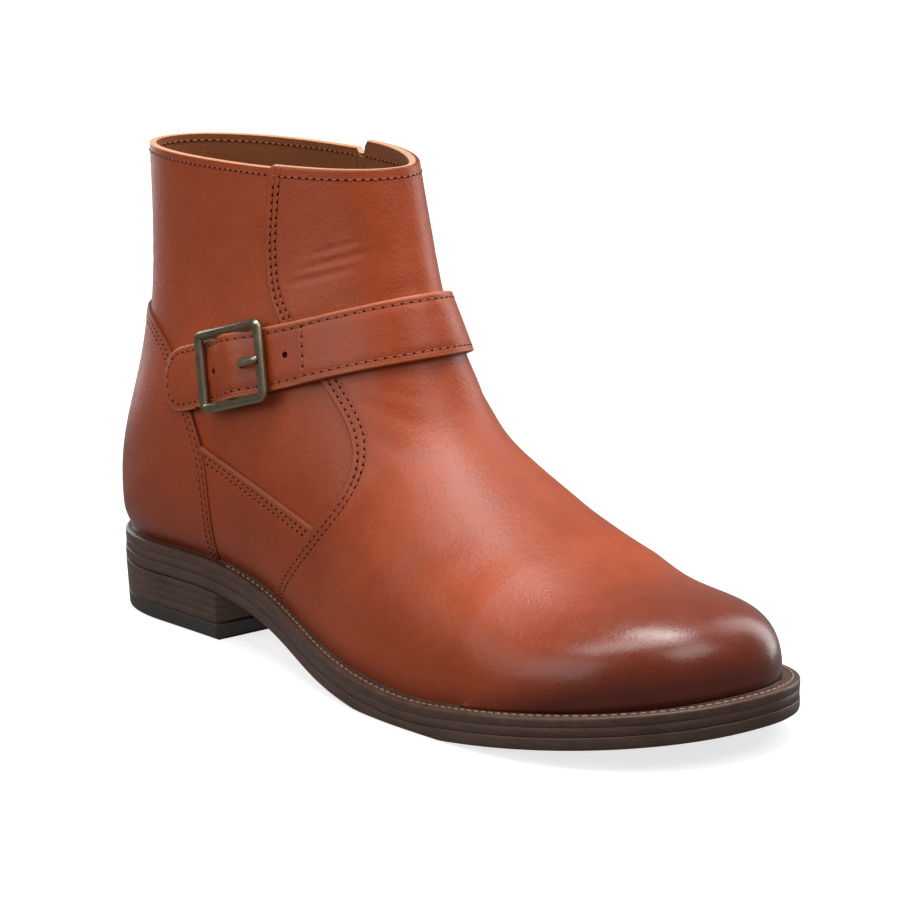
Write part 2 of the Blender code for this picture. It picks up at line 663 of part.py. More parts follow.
# Strap: a doubled band over the front of the ankle and the single tip that runs on through the buckle.
STRAP_MIDDLE = (STRAP_LOW + STRAP_HIGH) / 2
STRAP_HALF = (STRAP_HIGH - STRAP_LOW) / 2
band_start = place_at(BAND_ENDS[LATERAL], STRAP_MIDDLE, LATERAL)
band_stop = place_at(BAND_ENDS[MEDIAL], STRAP_MIDDLE, MEDIAL)
tip_stop = place_at(TIP_END, STRAP_MIDDLE, LATERAL)

# The buckle's plane rests on four points of the form beneath it.
incline = math.atan(STRAP_RISE)
buckle_rests = {}
for along in (-1, 1):
    for across in (-1, 1):
        run, climb = along * BUCKLE_ALONG * 0.4, across * STRAP_HALF * 0.9
        row, place = side_point(BUCKLE_X + run * math.cos(incline) - climb * math.sin(incline),
                                BUCKLE_Z + run * math.sin(incline) + climb * math.cos(incline), LATERAL)
        buckle_rests[along, across] = Vector(last_points(row, [place])[0])
along_strap = sum((along * point for (along, _), point in buckle_rests.items()), Vector()).normalized()
up_strap = sum((across * point for (_, across), point in buckle_rests.items()), Vector())
off_surface = along_strap.cross(up_strap).normalized()
across_strap = off_surface.cross(along_strap)
buckle_row, buckle_place = side_point(BUCKLE_X, BUCKLE_Z, LATERAL)
buckle_at = Vector(last_points(buckle_row, [buckle_place])[0])
buckle_axes = Matrix((along_strap, across_strap, off_surface)).transposed().to_4x4()
buckle_stand = Matrix.Translation(buckle_at * MM) @ buckle_axes


def strap_mesh(name, places, half_width, lift, thickness):
    """A strap through three lines of points: its low edge, middle and high edge."""
    sheets = [], []
    for share in (-1, 0, 1):
        lines = [], []
        for place in places:
            row = on_strap(place, STRAP_MIDDLE + share * half_width(place))
            under = lift(last_points(row, [place])[0])
            for line, height in zip(lines, (under + thickness, under)):
                line.append(lifted(row, [place], [height])[0])
        for sheet, line in zip(sheets, lines):
            sheet.append(line)
    return shell_mesh(name, *sheets)


def tip_half(place):
    """The tip's half width: full, then rounding off towards its end."""
    x = last_points(on_strap(place, STRAP_MIDDLE), [place])[0][0]
    short = np.clip((TIP_END + TIP_ROUND - x) / (TIP_ROUND + 1.2), 0, 1)
    return STRAP_HALF * float(np.sqrt(1 - short ** 2.4))


def tip_lift(point):
    """The tip rises over the buckle's centre bar."""
    away = (Vector(point) - buckle_at).dot(along_strap)
    hump = math.cos(math.pi / 2 * min(abs(away) / HUMP_REACH, 1)) ** 2
    return STRAP_LIFT + STRAP_HUMP * hump


band_places = np.linspace(band_start, band_stop, 41)
add_part("ankle_strap", strap_mesh("ankle_strap", band_places, lambda place: STRAP_HALF,
                                   lambda point: STRAP_LIFT, BAND), leather)
tip_gap = 0.6 / 140
tip_places = np.concatenate([np.linspace(tip_stop, place_at(TIP_END + TIP_ROUND, STRAP_MIDDLE, LATERAL), 7)[:-1],
                             np.linspace(place_at(TIP_END + TIP_ROUND, STRAP_MIDDLE, LATERAL), band_start - tip_gap, 26)])
tip = add_part("strap_tip", strap_mesh("strap_tip", tip_places, tip_half, tip_lift, TIP), leather)

# Buckle: a flat frame with a dropped centre bar, and the prong that comes up through the strap.


def chamfered(along, across, corner):
    """A rectangle with cut corners, in the buckle's plane."""
    a, b = along / 2, across / 2
    return [(a, b - corner), (a - corner, b), (corner - a, b), (-a, b - corner),
            (-a, corner - b), (corner - a, -b), (a - corner, -b), (a, corner - b)]


def frame_mesh(name, outlines, low, high):
    """A flat ring of outlines, extruded with a small bevel, in its own plane."""
    bevel = 0.4
    curve = bpy.data.curves.new(name, "CURVE")
    curve.dimensions = "2D"
    curve.fill_mode = "BOTH"
    curve.extrude = ((high - low) / 2 - bevel) * MM
    curve.bevel_depth = bevel * MM
    curve.bevel_resolution = 1
    curve.offset = -bevel * MM
    for outline in outlines:
        line = curve.splines.new("POLY")
        line.points.add(len(outline) - 1)
        for point, (x, y) in zip(line.points, outline):
            point.co = (x * MM, y * MM, 0, 1)
        line.use_cyclic_u = True
    guide = bpy.data.objects.new(name, curve)
    bpy.context.scene.collection.objects.link(guide)
    bpy.context.view_layer.update()
    mesh = bpy.data.meshes.new_from_object(guide.evaluated_get(bpy.context.evaluated_depsgraph_get()))
    mesh.transform(Matrix.Translation((0, 0, (low + high) / 2 * MM)))
    bpy.data.objects.remove(guide, do_unlink=True)
    weld(mesh)
    return mesh


inner_along, inner_across = BUCKLE_ALONG - 2 * BUCKLE_BAR, BUCKLE_ACROSS - 2 * BUCKLE_BAR
frame = add_part("buckle_frame", frame_mesh("buckle_frame", [
    chamfered(BUCKLE_ALONG, BUCKLE_ACROSS, BUCKLE_CORNER), chamfered(inner_along, inner_across, 1.2)],
    BUCKLE_LOW, BUCKLE_HIGH), brass)
frame.matrix_local = buckle_stand
centre_bar = add_cutter("centre_bar", box_mesh(
    "centre_bar", (CENTRE_WIDTH, BUCKLE_ACROSS - BUCKLE_BAR, CENTRE_HIGH - CENTRE_LOW),
    (0, 0, (CENTRE_LOW + CENTRE_HIGH) / 2)))
centre_bar.matrix_local = buckle_stand
cut(frame, centre_bar, "UNION")
prong_hole = add_cutter("prong_hole", rod_mesh("prong_hole", PRONG_HOLE_RADIUS, 20, (PRONG_HOLE, 0, 4), "Z"))
prong_hole.matrix_local = buckle_stand
cut(tip, prong_hole, "DIFFERENCE")

prong_curve = bpy.data.curves.new("buckle_prong", "CURVE")
prong_curve.dimensions = "3D"
prong_curve.bevel_depth = PRONG_RADIUS * MM
prong_curve.bevel_resolution = 2
prong_curve.use_fill_caps = True
prong_line = prong_curve.splines.new("POLY")
prong_line.points.add(len(PRONG_PATH) - 1)
for point, (along, height) in zip(prong_line.points, PRONG_PATH):
    point.co = (along * MM, 0, height * MM, 1)
prong_guide = bpy.data.objects.new("prong_guide", prong_curve)
bpy.context.scene.collection.objects.link(prong_guide)
bpy.context.view_layer.update()
prong_mesh = bpy.data.meshes.new_from_object(prong_guide.evaluated_get(bpy.context.evaluated_depsgraph_get()))
bpy.data.objects.remove(prong_guide, do_unlink=True)
weld(prong_mesh)
prong = add_part("buckle_prong", prong_mesh, brass)
prong.matrix_local = buckle_stand

# Zip: tape and teeth lie on the upper behind the vamp's medial edge, with the slider at the top.
zip_front, zip_back = ZIP_X + ZIP_WIDTH / 2, ZIP_X - ZIP_WIDTH / 2
zip_spots = [[side_point(x, z, MEDIAL) for x in np.linspace(zip_front, zip_back, 3)]
             for z in np.linspace(ZIP_BOTTOM, ZIP_TOP, 11)]
zip_sheets = [[[lifted(row, [place], height)[0] for row, place in line] for line in zip_spots]
              for height in (GAP + ZIP_THICK, GAP)]
add_part("zip_tape", shell_mesh("zip_tape", *zip_sheets), finish("zip_tape", (0.02, 0.012, 0.01), 0.7))

slider_row, slider_place = side_point(ZIP_X, SLIDER_Z, MEDIAL)
slider_wall = last_points(slider_row, [slider_place])[0][1]
slider_wide, slider_tall, slider_thick = SLIDER_SIZE
slider_base = (ZIP_X, slider_wall + SLIDER_LIFT + 0.4, SLIDER_Z)
pin = (ZIP_X, slider_base[1] + slider_thick + BLOCK_RADIUS, SLIDER_Z)
slider = add_part("zip_slider", box_mesh("zip_slider", (slider_wide, slider_thick, slider_tall),
                                         (0, slider_thick / 2, 0), 0.6), brass, slider_base)
block = add_cutter("slider_block", box_mesh("slider_block", (BLOCK_WIDTH, 2 * BLOCK_RADIUS + 0.8, 2 * BLOCK_RADIUS),
                                            (0, slider_thick + BLOCK_RADIUS - 0.4, 0)))
block.location = slider.location
cut(slider, block, "UNION")
pin_hole = add_cutter("pin_hole", rod_mesh("pin_hole", PIN_HOLE, 20, (0, slider_thick + BLOCK_RADIUS, 0), "X"))
pin_hole.location = slider.location
cut(slider, pin_hole, "DIFFERENCE")

# Pull tab: a forked plate that hangs from a pin through the slider's block.
fork_inside = BLOCK_WIDTH + 2 * FORK_GAP
pull = add_part("zip_pull", box_mesh("zip_pull", (PULL_WIDTH, PULL_THICK, PULL_LENGTH),
                                     (0, 0, PULL_THICK - PULL_LENGTH / 2), 0.4), brass, pin)
fork_slot = add_cutter("fork_slot", box_mesh("fork_slot", (fork_inside, 4 * PULL_THICK, 2 * FORK_LENGTH),
                                             (0, 0, PULL_THICK)))
pull_pin = add_cutter("pull_pin", rod_mesh("pull_pin", PIN_RADIUS, fork_inside + 1.0, (0, 0, 0), "X", 12))
for cutter, operation in ((fork_slot, "DIFFERENCE"), (pull_pin, "UNION")):
    cutter.location = pull.location
    cut(pull, cutter, operation)

# The boot's frame: origin on the floor, in the middle of the sole's length and width.
side_ys = [line[:, 1] for line in full_edge]
boot.location = Vector((-LENGTH / 2, -(min(side_ys[0]) + max(side_ys[1])) / 2, 0)) * MM
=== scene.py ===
"""Right engineer boot in tan leather, dressed over its solids: sole, upper, panels, strap, buckle, zip."""

import math

import bpy
import numpy as np
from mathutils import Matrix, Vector
from mathutils.bvhtree import BVHTree


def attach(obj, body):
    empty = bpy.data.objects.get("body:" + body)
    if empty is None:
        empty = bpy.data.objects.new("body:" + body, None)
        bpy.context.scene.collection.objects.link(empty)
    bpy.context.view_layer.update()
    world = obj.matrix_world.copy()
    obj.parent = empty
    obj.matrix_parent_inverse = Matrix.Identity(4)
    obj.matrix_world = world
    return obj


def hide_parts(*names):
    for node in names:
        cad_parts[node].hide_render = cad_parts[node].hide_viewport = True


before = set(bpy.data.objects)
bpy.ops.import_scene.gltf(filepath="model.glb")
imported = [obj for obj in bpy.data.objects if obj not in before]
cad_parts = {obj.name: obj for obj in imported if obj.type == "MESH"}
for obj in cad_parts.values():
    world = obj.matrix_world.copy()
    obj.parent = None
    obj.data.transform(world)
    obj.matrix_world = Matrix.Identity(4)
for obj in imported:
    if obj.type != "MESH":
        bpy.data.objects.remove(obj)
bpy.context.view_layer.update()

# Outsole: one dark leather layer cut to the last's outline, arched at the waist and flat under the ball.
# Its edge is trimmed, waxed and rounded, and it is sewn and glued to the midsole.
MM = 0.001
LENGTH, BALL_WIDTH, BOOT_HEIGHT, HEEL_HEIGHT = 305.0, 112.0, 171.0, 30.0
LATERAL, MEDIAL = -1, 1
HEEL_BACK = 0.0125 * LENGTH
TOE_TIP = LENGTH - 7.5
TOE_PIVOT = 0.741 * LENGTH
TOE_SWING = 3.6
TOE_POWER = {LATERAL: 2.23, MEDIAL: 2.42}
HEEL_ROUND, HEEL_POWER = 38.0, 2.2
FEATHER_COLUMNS = ("x", "z", "lateral", "medial")
FEATHER = (
    (0.0125, 0.983, 0.254, 0.267),
    (0.1310, 0.973, 0.258, 0.267),
    (0.2560, 0.953, 0.272, 0.260),
    (0.3670, 0.760, 0.306, 0.253),
    (0.4920, 0.500, 0.402, 0.324),
    (0.6070, 0.360, 0.458, 0.385),
    (0.6820, 0.343, 0.467, 0.406),
    (0.7410, 0.400, 0.467, 0.408),
)
SEAT_GAP = 0.45
WELT, MIDSOLE, OUTSOLE, LAYER_GAP = 3.2, 2.8, 4.4, 0.3
EDGE_COLUMNS = ("x", "margin")
SOLE_EDGE = ((0.0, HEEL_BACK), (0.10, 4.6), (0.25, 4.8), (0.43, 5.2), (0.66, 7.0), (1.0, LENGTH - TOE_TIP))


def table(rows, columns, name):
    """One named column of a table of sizes."""
    return np.array([row[columns.index(name)] for row in rows])


def unit(vectors):
    """The same directions, each of length one."""
    return vectors / np.linalg.norm(vectors, axis=-1, keepdims=True)


def spline(stations, values):
    """Natural cubic through a column, straight beyond its ends."""
    xs, ys = np.asarray(stations, float), np.asarray(values, float)
    count = len(xs)
    step = np.diff(xs)
    rise = np.diff(ys) / step
    system = np.eye(count)
    right = np.zeros(count)
    for i in range(1, count - 1):
        system[i, i - 1:i + 2] = step[i - 1], 2 * (step[i - 1] + step[i]), step[i]
        right[i] = 6 * (rise[i] - rise[i - 1])
    bend = np.linalg.solve(system, right)
    first = rise[0] - step[0] * (2 * bend[0] + bend[1]) / 6
    last = rise[-1] + step[-1] * (bend[-2] + 2 * bend[-1]) / 6

    def curve(x):
        x = np.asarray(x, float)
        i = np.clip(np.searchsorted(xs, x) - 1, 0, count - 2)
        t = np.clip(x, xs[0], xs[-1]) - xs[i]
        slope = rise[i] - step[i] * (2 * bend[i] + bend[i + 1]) / 6
        inside = ys[i] + slope * t + bend[i] * t * t / 2
        inside = inside + (bend[i + 1] - bend[i]) * t ** 3 / (6 * step[i])
        return inside + first * np.minimum(x - xs[0], 0) + last * np.maximum(x - xs[-1], 0)
    return curve


feather_x = table(FEATHER, FEATHER_COLUMNS, "x") * LENGTH
feather_height = spline(feather_x, table(FEATHER, FEATHER_COLUMNS, "z") * HEEL_HEIGHT)
feather_half = {LATERAL: spline(feather_x, table(FEATHER, FEATHER_COLUMNS, "lateral") * BALL_WIDTH),
                MEDIAL: spline(feather_x, table(FEATHER, FEATHER_COLUMNS, "medial") * BALL_WIDTH)}
sole_margin = spline(table(SOLE_EDGE, EDGE_COLUMNS, "x") * LENGTH, table(SOLE_EDGE, EDGE_COLUMNS, "margin"))


def feather_edge(x, side):
    """The feather line's Y along the length: round at the heel, a drawn-out oval at the toe."""
    half = side * feather_half[side](np.clip(x, HEEL_BACK, TOE_PIVOT))
    heel = np.clip((HEEL_BACK + HEEL_ROUND - x) / HEEL_ROUND, 0, 1)
    toe = np.clip((x - TOE_PIVOT) / (TOE_TIP - TOE_PIVOT), 0, 1)
    power = TOE_POWER[side]
    at_heel = half * (1 - heel ** HEEL_POWER) ** (1 / HEEL_POWER)
    at_toe = TOE_SWING + (half - TOE_SWING) * (1 - toe ** power) ** (1 / power)
    return np.where(x > TOE_PIVOT, at_toe, at_heel)


RING_COUNT = 150


def sole_ring(margin, until=None, count=RING_COUNT):
    """The feather line grown by a margin, as one loop: lateral side to the front, then medial side back."""
    turn = np.linspace(0, math.pi, count)
    xs = HEEL_BACK + (TOE_TIP - HEEL_BACK) * (1 - np.cos(turn)) / 2
    if until is not None:
        xs = HEEL_BACK + (until - HEEL_BACK) * (1 - np.cos(turn / 2))
    sides = []
    for side in (LATERAL, MEDIAL):
        line = np.column_stack([xs, feather_edge(xs, side)])
        run = np.gradient(line, axis=0)
        run[0] = (0, side)
        if until is None:
            run[-1] = (0, -side)
        run = unit(run)
        outward = side * np.column_stack([-run[:, 1], run[:, 0]])
        sides.append(line + outward * np.asarray(margin(xs)).reshape(-1, 1))
    lateral, medial = sides
    back = medial[-2:0:-1] if until is None else medial[:0:-1]
    return np.vstack([lateral, back])


full_ring = sole_ring(sole_margin)
TO_FRAME = np.array([-LENGTH / 2, -(full_ring[:, 1].min() + full_ring[:, 1].max()) / 2, 0])


class Value:
    """A socket's number, with arithmetic that adds Math nodes."""

    def __init__(self, tree, socket):
        self.tree, self.socket = tree, socket

    def math(self, operation, *others):
        node = self.tree.nodes.new("ShaderNodeMath")
        node.operation = operation
        for slot, item in zip(node.inputs, others):
            if isinstance(item, Value):
                self.tree.links.new(item.socket, slot)
            else:
                slot.default_value = item
        return Value(self.tree, node.outputs[0])

    def __add__(self, other):
        return self.math("ADD", self, other)

    def __sub__(self, other):
        return self.math("SUBTRACT", self, other)

    def __rsub__(self, other):
        return self.math("SUBTRACT", other, self)

    def __mul__(self, other):
        return self.math("MULTIPLY", self, other)

    __radd__, __rmul__ = __add__, __mul__

    def clamp(self):
        return self.math("MINIMUM", self.math("MAXIMUM", self, 0.0), 1.0)


class Finish:
    """A Principled finish whose nodes come from one method."""

    def __init__(self, name, **constants):
        self.material = bpy.data.materials.new(name)
        self.material.use_nodes = True
        self.tree = self.material.node_tree
        self.shader = self.tree.nodes["Principled BSDF"]
        self.set(**constants)

    def feed(self, slot, item):
        if isinstance(item, Value):
            self.tree.links.new(item.socket, slot)
        elif isinstance(item, (tuple, list)) and slot.type == "RGBA":
            slot.default_value = (*item[:3], 1.0)
        else:
            slot.default_value = item

    def set(self, **sockets):
        for name, item in sockets.items():
            self.feed(self.shader.inputs[name.replace("_", " ").title().replace("Ior", "IOR")], item)

    def node(self, kind, settings=None, sockets=None, output=0):
        node = self.tree.nodes.new("ShaderNode" + kind)
        for name, item in (settings or {}).items():
            setattr(node, name, item)
        for name, item in (sockets or {}).items():
            self.feed(node.inputs[name], item)
        return Value(self.tree, node.outputs[output])

    def mix(self, share, first, second):
        return self.node("Mix", {"data_type": "RGBA"}, {0: share, 6: first, 7: second}, 2)

    def place(self, scale=(1.0, 1.0, 1.0)):
        """The object's own coordinates, stretched."""
        spot = self.node("TexCoord", output=3)
        return self.node("Mapping", None, {"Vector": spot, "Scale": scale})

    def noise(self, spot, scale, detail=3.0, roughness=0.5):
        return self.node("TexNoise", None, {"Vector": spot, "Scale": scale, "Detail": detail,
                                            "Roughness": roughness})

    def mask(self, name):
        """A mesh's own painted mask."""
        return self.node("Attribute", {"attribute_name": name}, None, 2)

    def bump(self, height, distance, strength):
        return self.node("Bump", None, {"Height": height, "Distance": distance, "Strength": strength})


def add_piece(name, points, faces, finish, body="boot", slot=None, stands_for=(), masks=None):
    """A smooth mesh piece from points in the boot's own millimetres, riding on a body."""
    mesh = bpy.data.meshes.new(name)
    mesh.from_pydata(((np.asarray(points) + TO_FRAME) * MM).tolist(), [], [list(face) for face in faces])
    for mask, values in (masks or {}).items():
        mesh.attributes.new(mask, "FLOAT", "POINT").data.foreach_set("value", np.asarray(values, np.float32))
    mesh.shade_smooth()
    mesh.materials.append(finish.material)
    piece = bpy.data.objects.new(name, mesh)
    bpy.context.scene.collection.objects.link(piece)
    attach(piece, body)
    if stands_for:
        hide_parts(*stands_for)
    return piece


def sheet_faces(count, wide, looped=True):
    """Quads between rows of points, each row a loop or an open line."""
    return [(k * wide + i, k * wide + (i + 1) % wide, (k + 1) * wide + (i + 1) % wide, (k + 1) * wide + i)
            for k in range(count - 1) for i in range(wide if looped else wide - 1)]


def loft(rings, half):
    """Points and faces of a closed form through loops, with its first and last loops capped across."""
    size = len(rings[0])
    points = np.vstack(rings)
    faces = [(a, d, c, b) for a, b, c, d in sheet_faces(len(rings), size)]
    for base, flip in ((0, False), ((len(rings) - 1) * size, True)):
        for i in range(half - 1):
            corners = [base + i, base + i + 1, base + (size - i - 1) % size, base + (size - i) % size]
            corners = list(dict.fromkeys(corners))
            if len(corners) > 2:
                faces.append(corners[::-1] if flip else corners)
    return points, faces


def trimmed_edge(profile, top, bottom, until=None, lean=0.0, count=RING_COUNT):
    """A sole layer: loops down its edge, each with an inset and a share of the way from top to bottom."""
    rings = []
    for inset, share in profile:
        ring = sole_ring(lambda x: sole_margin(x) - inset - lean * share,
                         None if until is None else until - lean * share, count)
        high, low = top(ring[:, 0]), bottom(ring[:, 0])
        rings.append(np.column_stack([ring, high + (low - high) * share]))
    return loft(rings, count)


def welt_top(x):
    return feather_height(x) - SEAT_GAP


def midsole_top(x):
    return welt_top(x) - WELT - LAYER_GAP


def outsole_top(x):
    return midsole_top(x) - MIDSOLE - LAYER_GAP


def outsole_bottom(x):
    return np.maximum(outsole_top(x) - OUTSOLE, 0)


OUTSOLE_PROFILE = ((9.0, 0.0), (0.35, 0.0), (0.1, 0.03), (0.0, 0.1), (0.0, 0.72), (0.25, 0.9), (1.0, 1.0),
                   (12.0, 1.0))
EDGE_DARK, EDGE_LIGHT = (0.036, 0.0175, 0.0118), (0.146, 0.082, 0.060)
edge_brown = Finish("waxed_sole_edge", coat_weight=0.05, coat_roughness=0.3, specular_ior_level=0.28)
streak = edge_brown.noise(edge_brown.place((60.0, 60.0, 1500.0)), 1.0, 4.0, 0.65)
patch = edge_brown.noise(edge_brown.place(), 70.0, 3.0)
edge_brown.set(base_color=edge_brown.mix((streak * 0.7 + patch * 0.5 - 0.25).clamp(), EDGE_DARK, EDGE_LIGHT),
               roughness=0.34 + 0.25 * patch,
               normal=edge_brown.bump(streak * 0.7 + patch * 0.3, 0.00035, 0.6))
add_piece("outsole_layer", *trimmed_edge(OUTSOLE_PROFILE, outsole_top, outsole_bottom), edge_brown,
          slot="sole_edge", stands_for=("outsole",))

# Midsole: a thin leather layer between outsole and welt, glued to both.
# It is set in a little, so that fine grooves show along the edge.
MIDSOLE_INSET = 0.12
MIDSOLE_PROFILE = tuple((MIDSOLE_INSET + inset, share) for inset, share in (
    (9.0, -0.1), (0.3, -0.1), (0.03, 0.0), (0.0, 0.5), (0.03, 1.0), (0.3, 1.1), (9.0, 1.1)))
add_piece("midsole_layer", *trimmed_edge(MIDSOLE_PROFILE, midsole_top, lambda x: midsole_top(x) - MIDSOLE),
          edge_brown, slot="sole_edge", stands_for=("midsole",))

# Heel: leather layers stacked and nailed under the outsole, then trimmed flush and waxed.
# A darker rubber lift, nailed on below, meets the floor.
HEEL_BREAST, LIFT, HEEL_TAPER = 0.256 * LENGTH, 6.0, 1.2
HEEL_COUNT = 60
GROOVE, GROOVE_FLOOR, GROOVE_BROW = 0.16, 0.004, 0.03
STACK_LAYERS = 4
SOLE_AT_HEEL = 11.5
stack_profile = [(9.0, 0.0), (0.3, 0.0)]
for layer in range(STACK_LAYERS):
    start, stop = layer / STACK_LAYERS, (layer + 1) / STACK_LAYERS
    stack_profile += [(GROOVE, start + GROOVE_FLOOR), (0.0, start + GROOVE_BROW),
                      (0.0, stop - GROOVE_BROW), (GROOVE, stop - GROOVE_FLOOR)]
stack_profile += [(0.3, 1.0), (9.0, 1.0)]
stack_lean = HEEL_TAPER * (1 - (LIFT + LAYER_GAP) / (HEEL_HEIGHT - SOLE_AT_HEEL))
stack = trimmed_edge(stack_profile, lambda x: outsole_bottom(x) - 0.05, lambda x: 0 * x + LIFT + 0.1,
                     HEEL_BREAST, stack_lean, HEEL_COUNT)
add_piece("heel_layers", *stack, edge_brown, slot="sole_edge", stands_for=("heel_stack",))


def speckled(name, grain, dark, light, relief, rough=None, stretch=(1.0, 1.0, 1.0), **constants):
    """A finish between two colours that follow one grain, which also gives its relief and its roughness."""
    finish = Finish(name, **constants)
    speck = finish.noise(finish.place(stretch), *grain)
    finish.set(base_color=finish.mix(speck, dark, light))
    if rough:
        finish.set(roughness=rough[0] + rough[1] * speck)
    if relief:
        finish.set(normal=finish.bump(speck, *relief))
    return finish


lift_rubber = speckled("heel_rubber", (900.0, 2.0), (0.018, 0.013, 0.011), (0.044, 0.032, 0.027),
                       relief=(0.0002, 0.5), rough=(0.45, 0.2))
LIFT_PROFILE = ((9.0, 0.0), (0.6, 0.0), (0.1, 0.05), (0.0, 0.15), (0.0, 0.85), (0.15, 0.95), (0.7, 1.0),
                (9.0, 1.0))
lift = trimmed_edge([(inset + stack_lean, share) for inset, share in LIFT_PROFILE], lambda x: 0 * x + LIFT,
                    lambda x: 0 * x, HEEL_BREAST - stack_lean, HEEL_TAPER - stack_lean, HEEL_COUNT)
add_piece("heel_lift_rubber", *lift, lift_rubber, slot="heel_rubber", stands_for=("heel_lift",))

# Welt: a dark leather strip sewn round the upper's edge, which stands out past it all round.
# A row of pale thread sews it to the sole from above.
WELT_PROFILE = ((17.0, 0.0), (1.3, 0.0), (0.55, 0.03), (0.12, 0.16), (0.0, 0.34), (0.0, 0.8), (0.08, 1.0),
                (0.3, 1.07), (9.0, 1.07))
welt_brown = speckled("waxed_welt", (260.0, 4.0, 0.6), (0.036, 0.0165, 0.0106), (0.112, 0.057, 0.039),
                      relief=(0.0004, 0.5), rough=(0.32, 0.25), coat_weight=0.08, coat_roughness=0.3,
                      specular_ior_level=0.3)
add_piece("welt_strip", *trimmed_edge(WELT_PROFILE, welt_top, lambda x: welt_top(x) - WELT), welt_brown,
          slot="sole_edge", stands_for=("welt",))
LIP_PROFILE = ((1.6, -0.1), (1.45, 0.3), (1.05, 0.7), (0.5, 0.9), (-1.5, 0.6))
lip_rings = []
for out, rise in LIP_PROFILE:
    ring = sole_ring(lambda x: 0 * x + out)
    lip_rings.append(np.column_stack([ring, welt_top(ring[:, 0]) + rise]))
add_piece("welt_lip", np.vstack(lip_rings), sheet_faces(len(lip_rings), len(lip_rings[0])), welt_brown,
          slot="sole_edge")


def rod_faces(count, sides, base=0):
    """Faces of a rod through loops of points, closed at both ends."""
    ends = [list(range(sides))[::-1], [(count - 1) * sides + i for i in range(sides)]]
    return [[base + corner for corner in face] for face in sheet_faces(count, sides) + ends]


def thread_bits(places, length, radius, sides=6, flat=0.75):
    """Short rounded bits of thread, each lying along its own direction on its own surface."""
    bow = ((-0.5, 0.25, -0.4), (-0.38, 0.8, 0.12), (0.0, 1.0, 0.3), (0.38, 0.8, 0.12), (0.5, 0.25, -0.4))
    points, faces = [], []
    for middle, along, off in places:
        across = np.cross(off, along)
        base = len(points)
        for share, thick, rise in bow:
            for i in range(sides):
                angle = 2 * math.pi * i / sides
                points.append(middle + along * share * length + across * radius * thick * math.cos(angle)
                              + off * radius * (rise + flat * thick * math.sin(angle)))
        faces += rod_faces(len(bow), sides, base)
    return points, faces


def run_length(line):
    """How far along a line each of its points lies."""
    return np.concatenate([[0], np.cumsum(np.linalg.norm(np.diff(line, axis=0), axis=1))])


def evenly(line, pitch):
    """Points at an even pitch along a line, with the directions there."""
    line = np.asarray(line, float)
    run = run_length(line)
    count = max(int(run[-1] / pitch), 1)
    spots = (np.arange(count) + 0.5) * run[-1] / count

    def at(places):
        return np.column_stack([np.interp(places, run, line[:, i]) for i in range(3)])
    return at(spots), unit(at(np.minimum(spots + 0.5, run[-1])) - at(np.maximum(spots - 0.5, 0)))


WELT_STITCH, WELT_THREAD, WELT_STITCH_IN = 3.1, 0.42, 2.4
pale_thread = speckled("welt_thread", (1500.0, 2.0), (0.16, 0.095, 0.055), (0.34, 0.23, 0.14),
                       relief=(0.0002, 0.6), roughness=0.7)
stitch_ring = sole_ring(lambda x: sole_margin(x) - WELT_STITCH_IN)
stitch_line = np.column_stack([stitch_ring, welt_top(stitch_ring[:, 0]) + 0.02])
stitch_line = stitch_line[stitch_line[:, 0] > HEEL_BREAST]
up = np.array([0.0, 0.0, 1.0])
welt_bits = [(spot, run, up) for spot, run in zip(*evenly(stitch_line, WELT_STITCH))]
add_piece("welt_stitches", *thread_bits(welt_bits, WELT_STITCH * 0.74, WELT_THREAD), pale_thread,
          slot="sole_edge")

# Insole: a smooth leather footbed that lies inside the upper, on the sole.
# It is cut a little smaller than the feather line, its top edge is rounded, and it is glued down.
INSOLE, INSOLE_CLEAR, INSOLE_LIFT = 3.0, 4.8, 0.6
INSOLE_PROFILE = ((9.0, 0.0), (1.5, 0.0), (0.3, 0.08), (0.0, 0.35), (0.0, 1.0), (9.0, 1.0))
footbed = speckled("footbed_leather", (500.0, 4.0), (0.16, 0.065, 0.026), (0.26, 0.115, 0.05),
                   relief=(0.0003, 0.4), roughness=0.6)
insole_rings = []
for inset, share in INSOLE_PROFILE:
    ring = sole_ring(lambda x: 0 * x - INSOLE_CLEAR - inset)
    height = feather_height(ring[:, 0]) + INSOLE_LIFT + INSOLE * (1 - share)
    insole_rings.append(np.column_stack([ring, height]))
add_piece("footbed", *loft(insole_rings, RING_COUNT), footbed, slot="insole_leather", stands_for=("insole",))

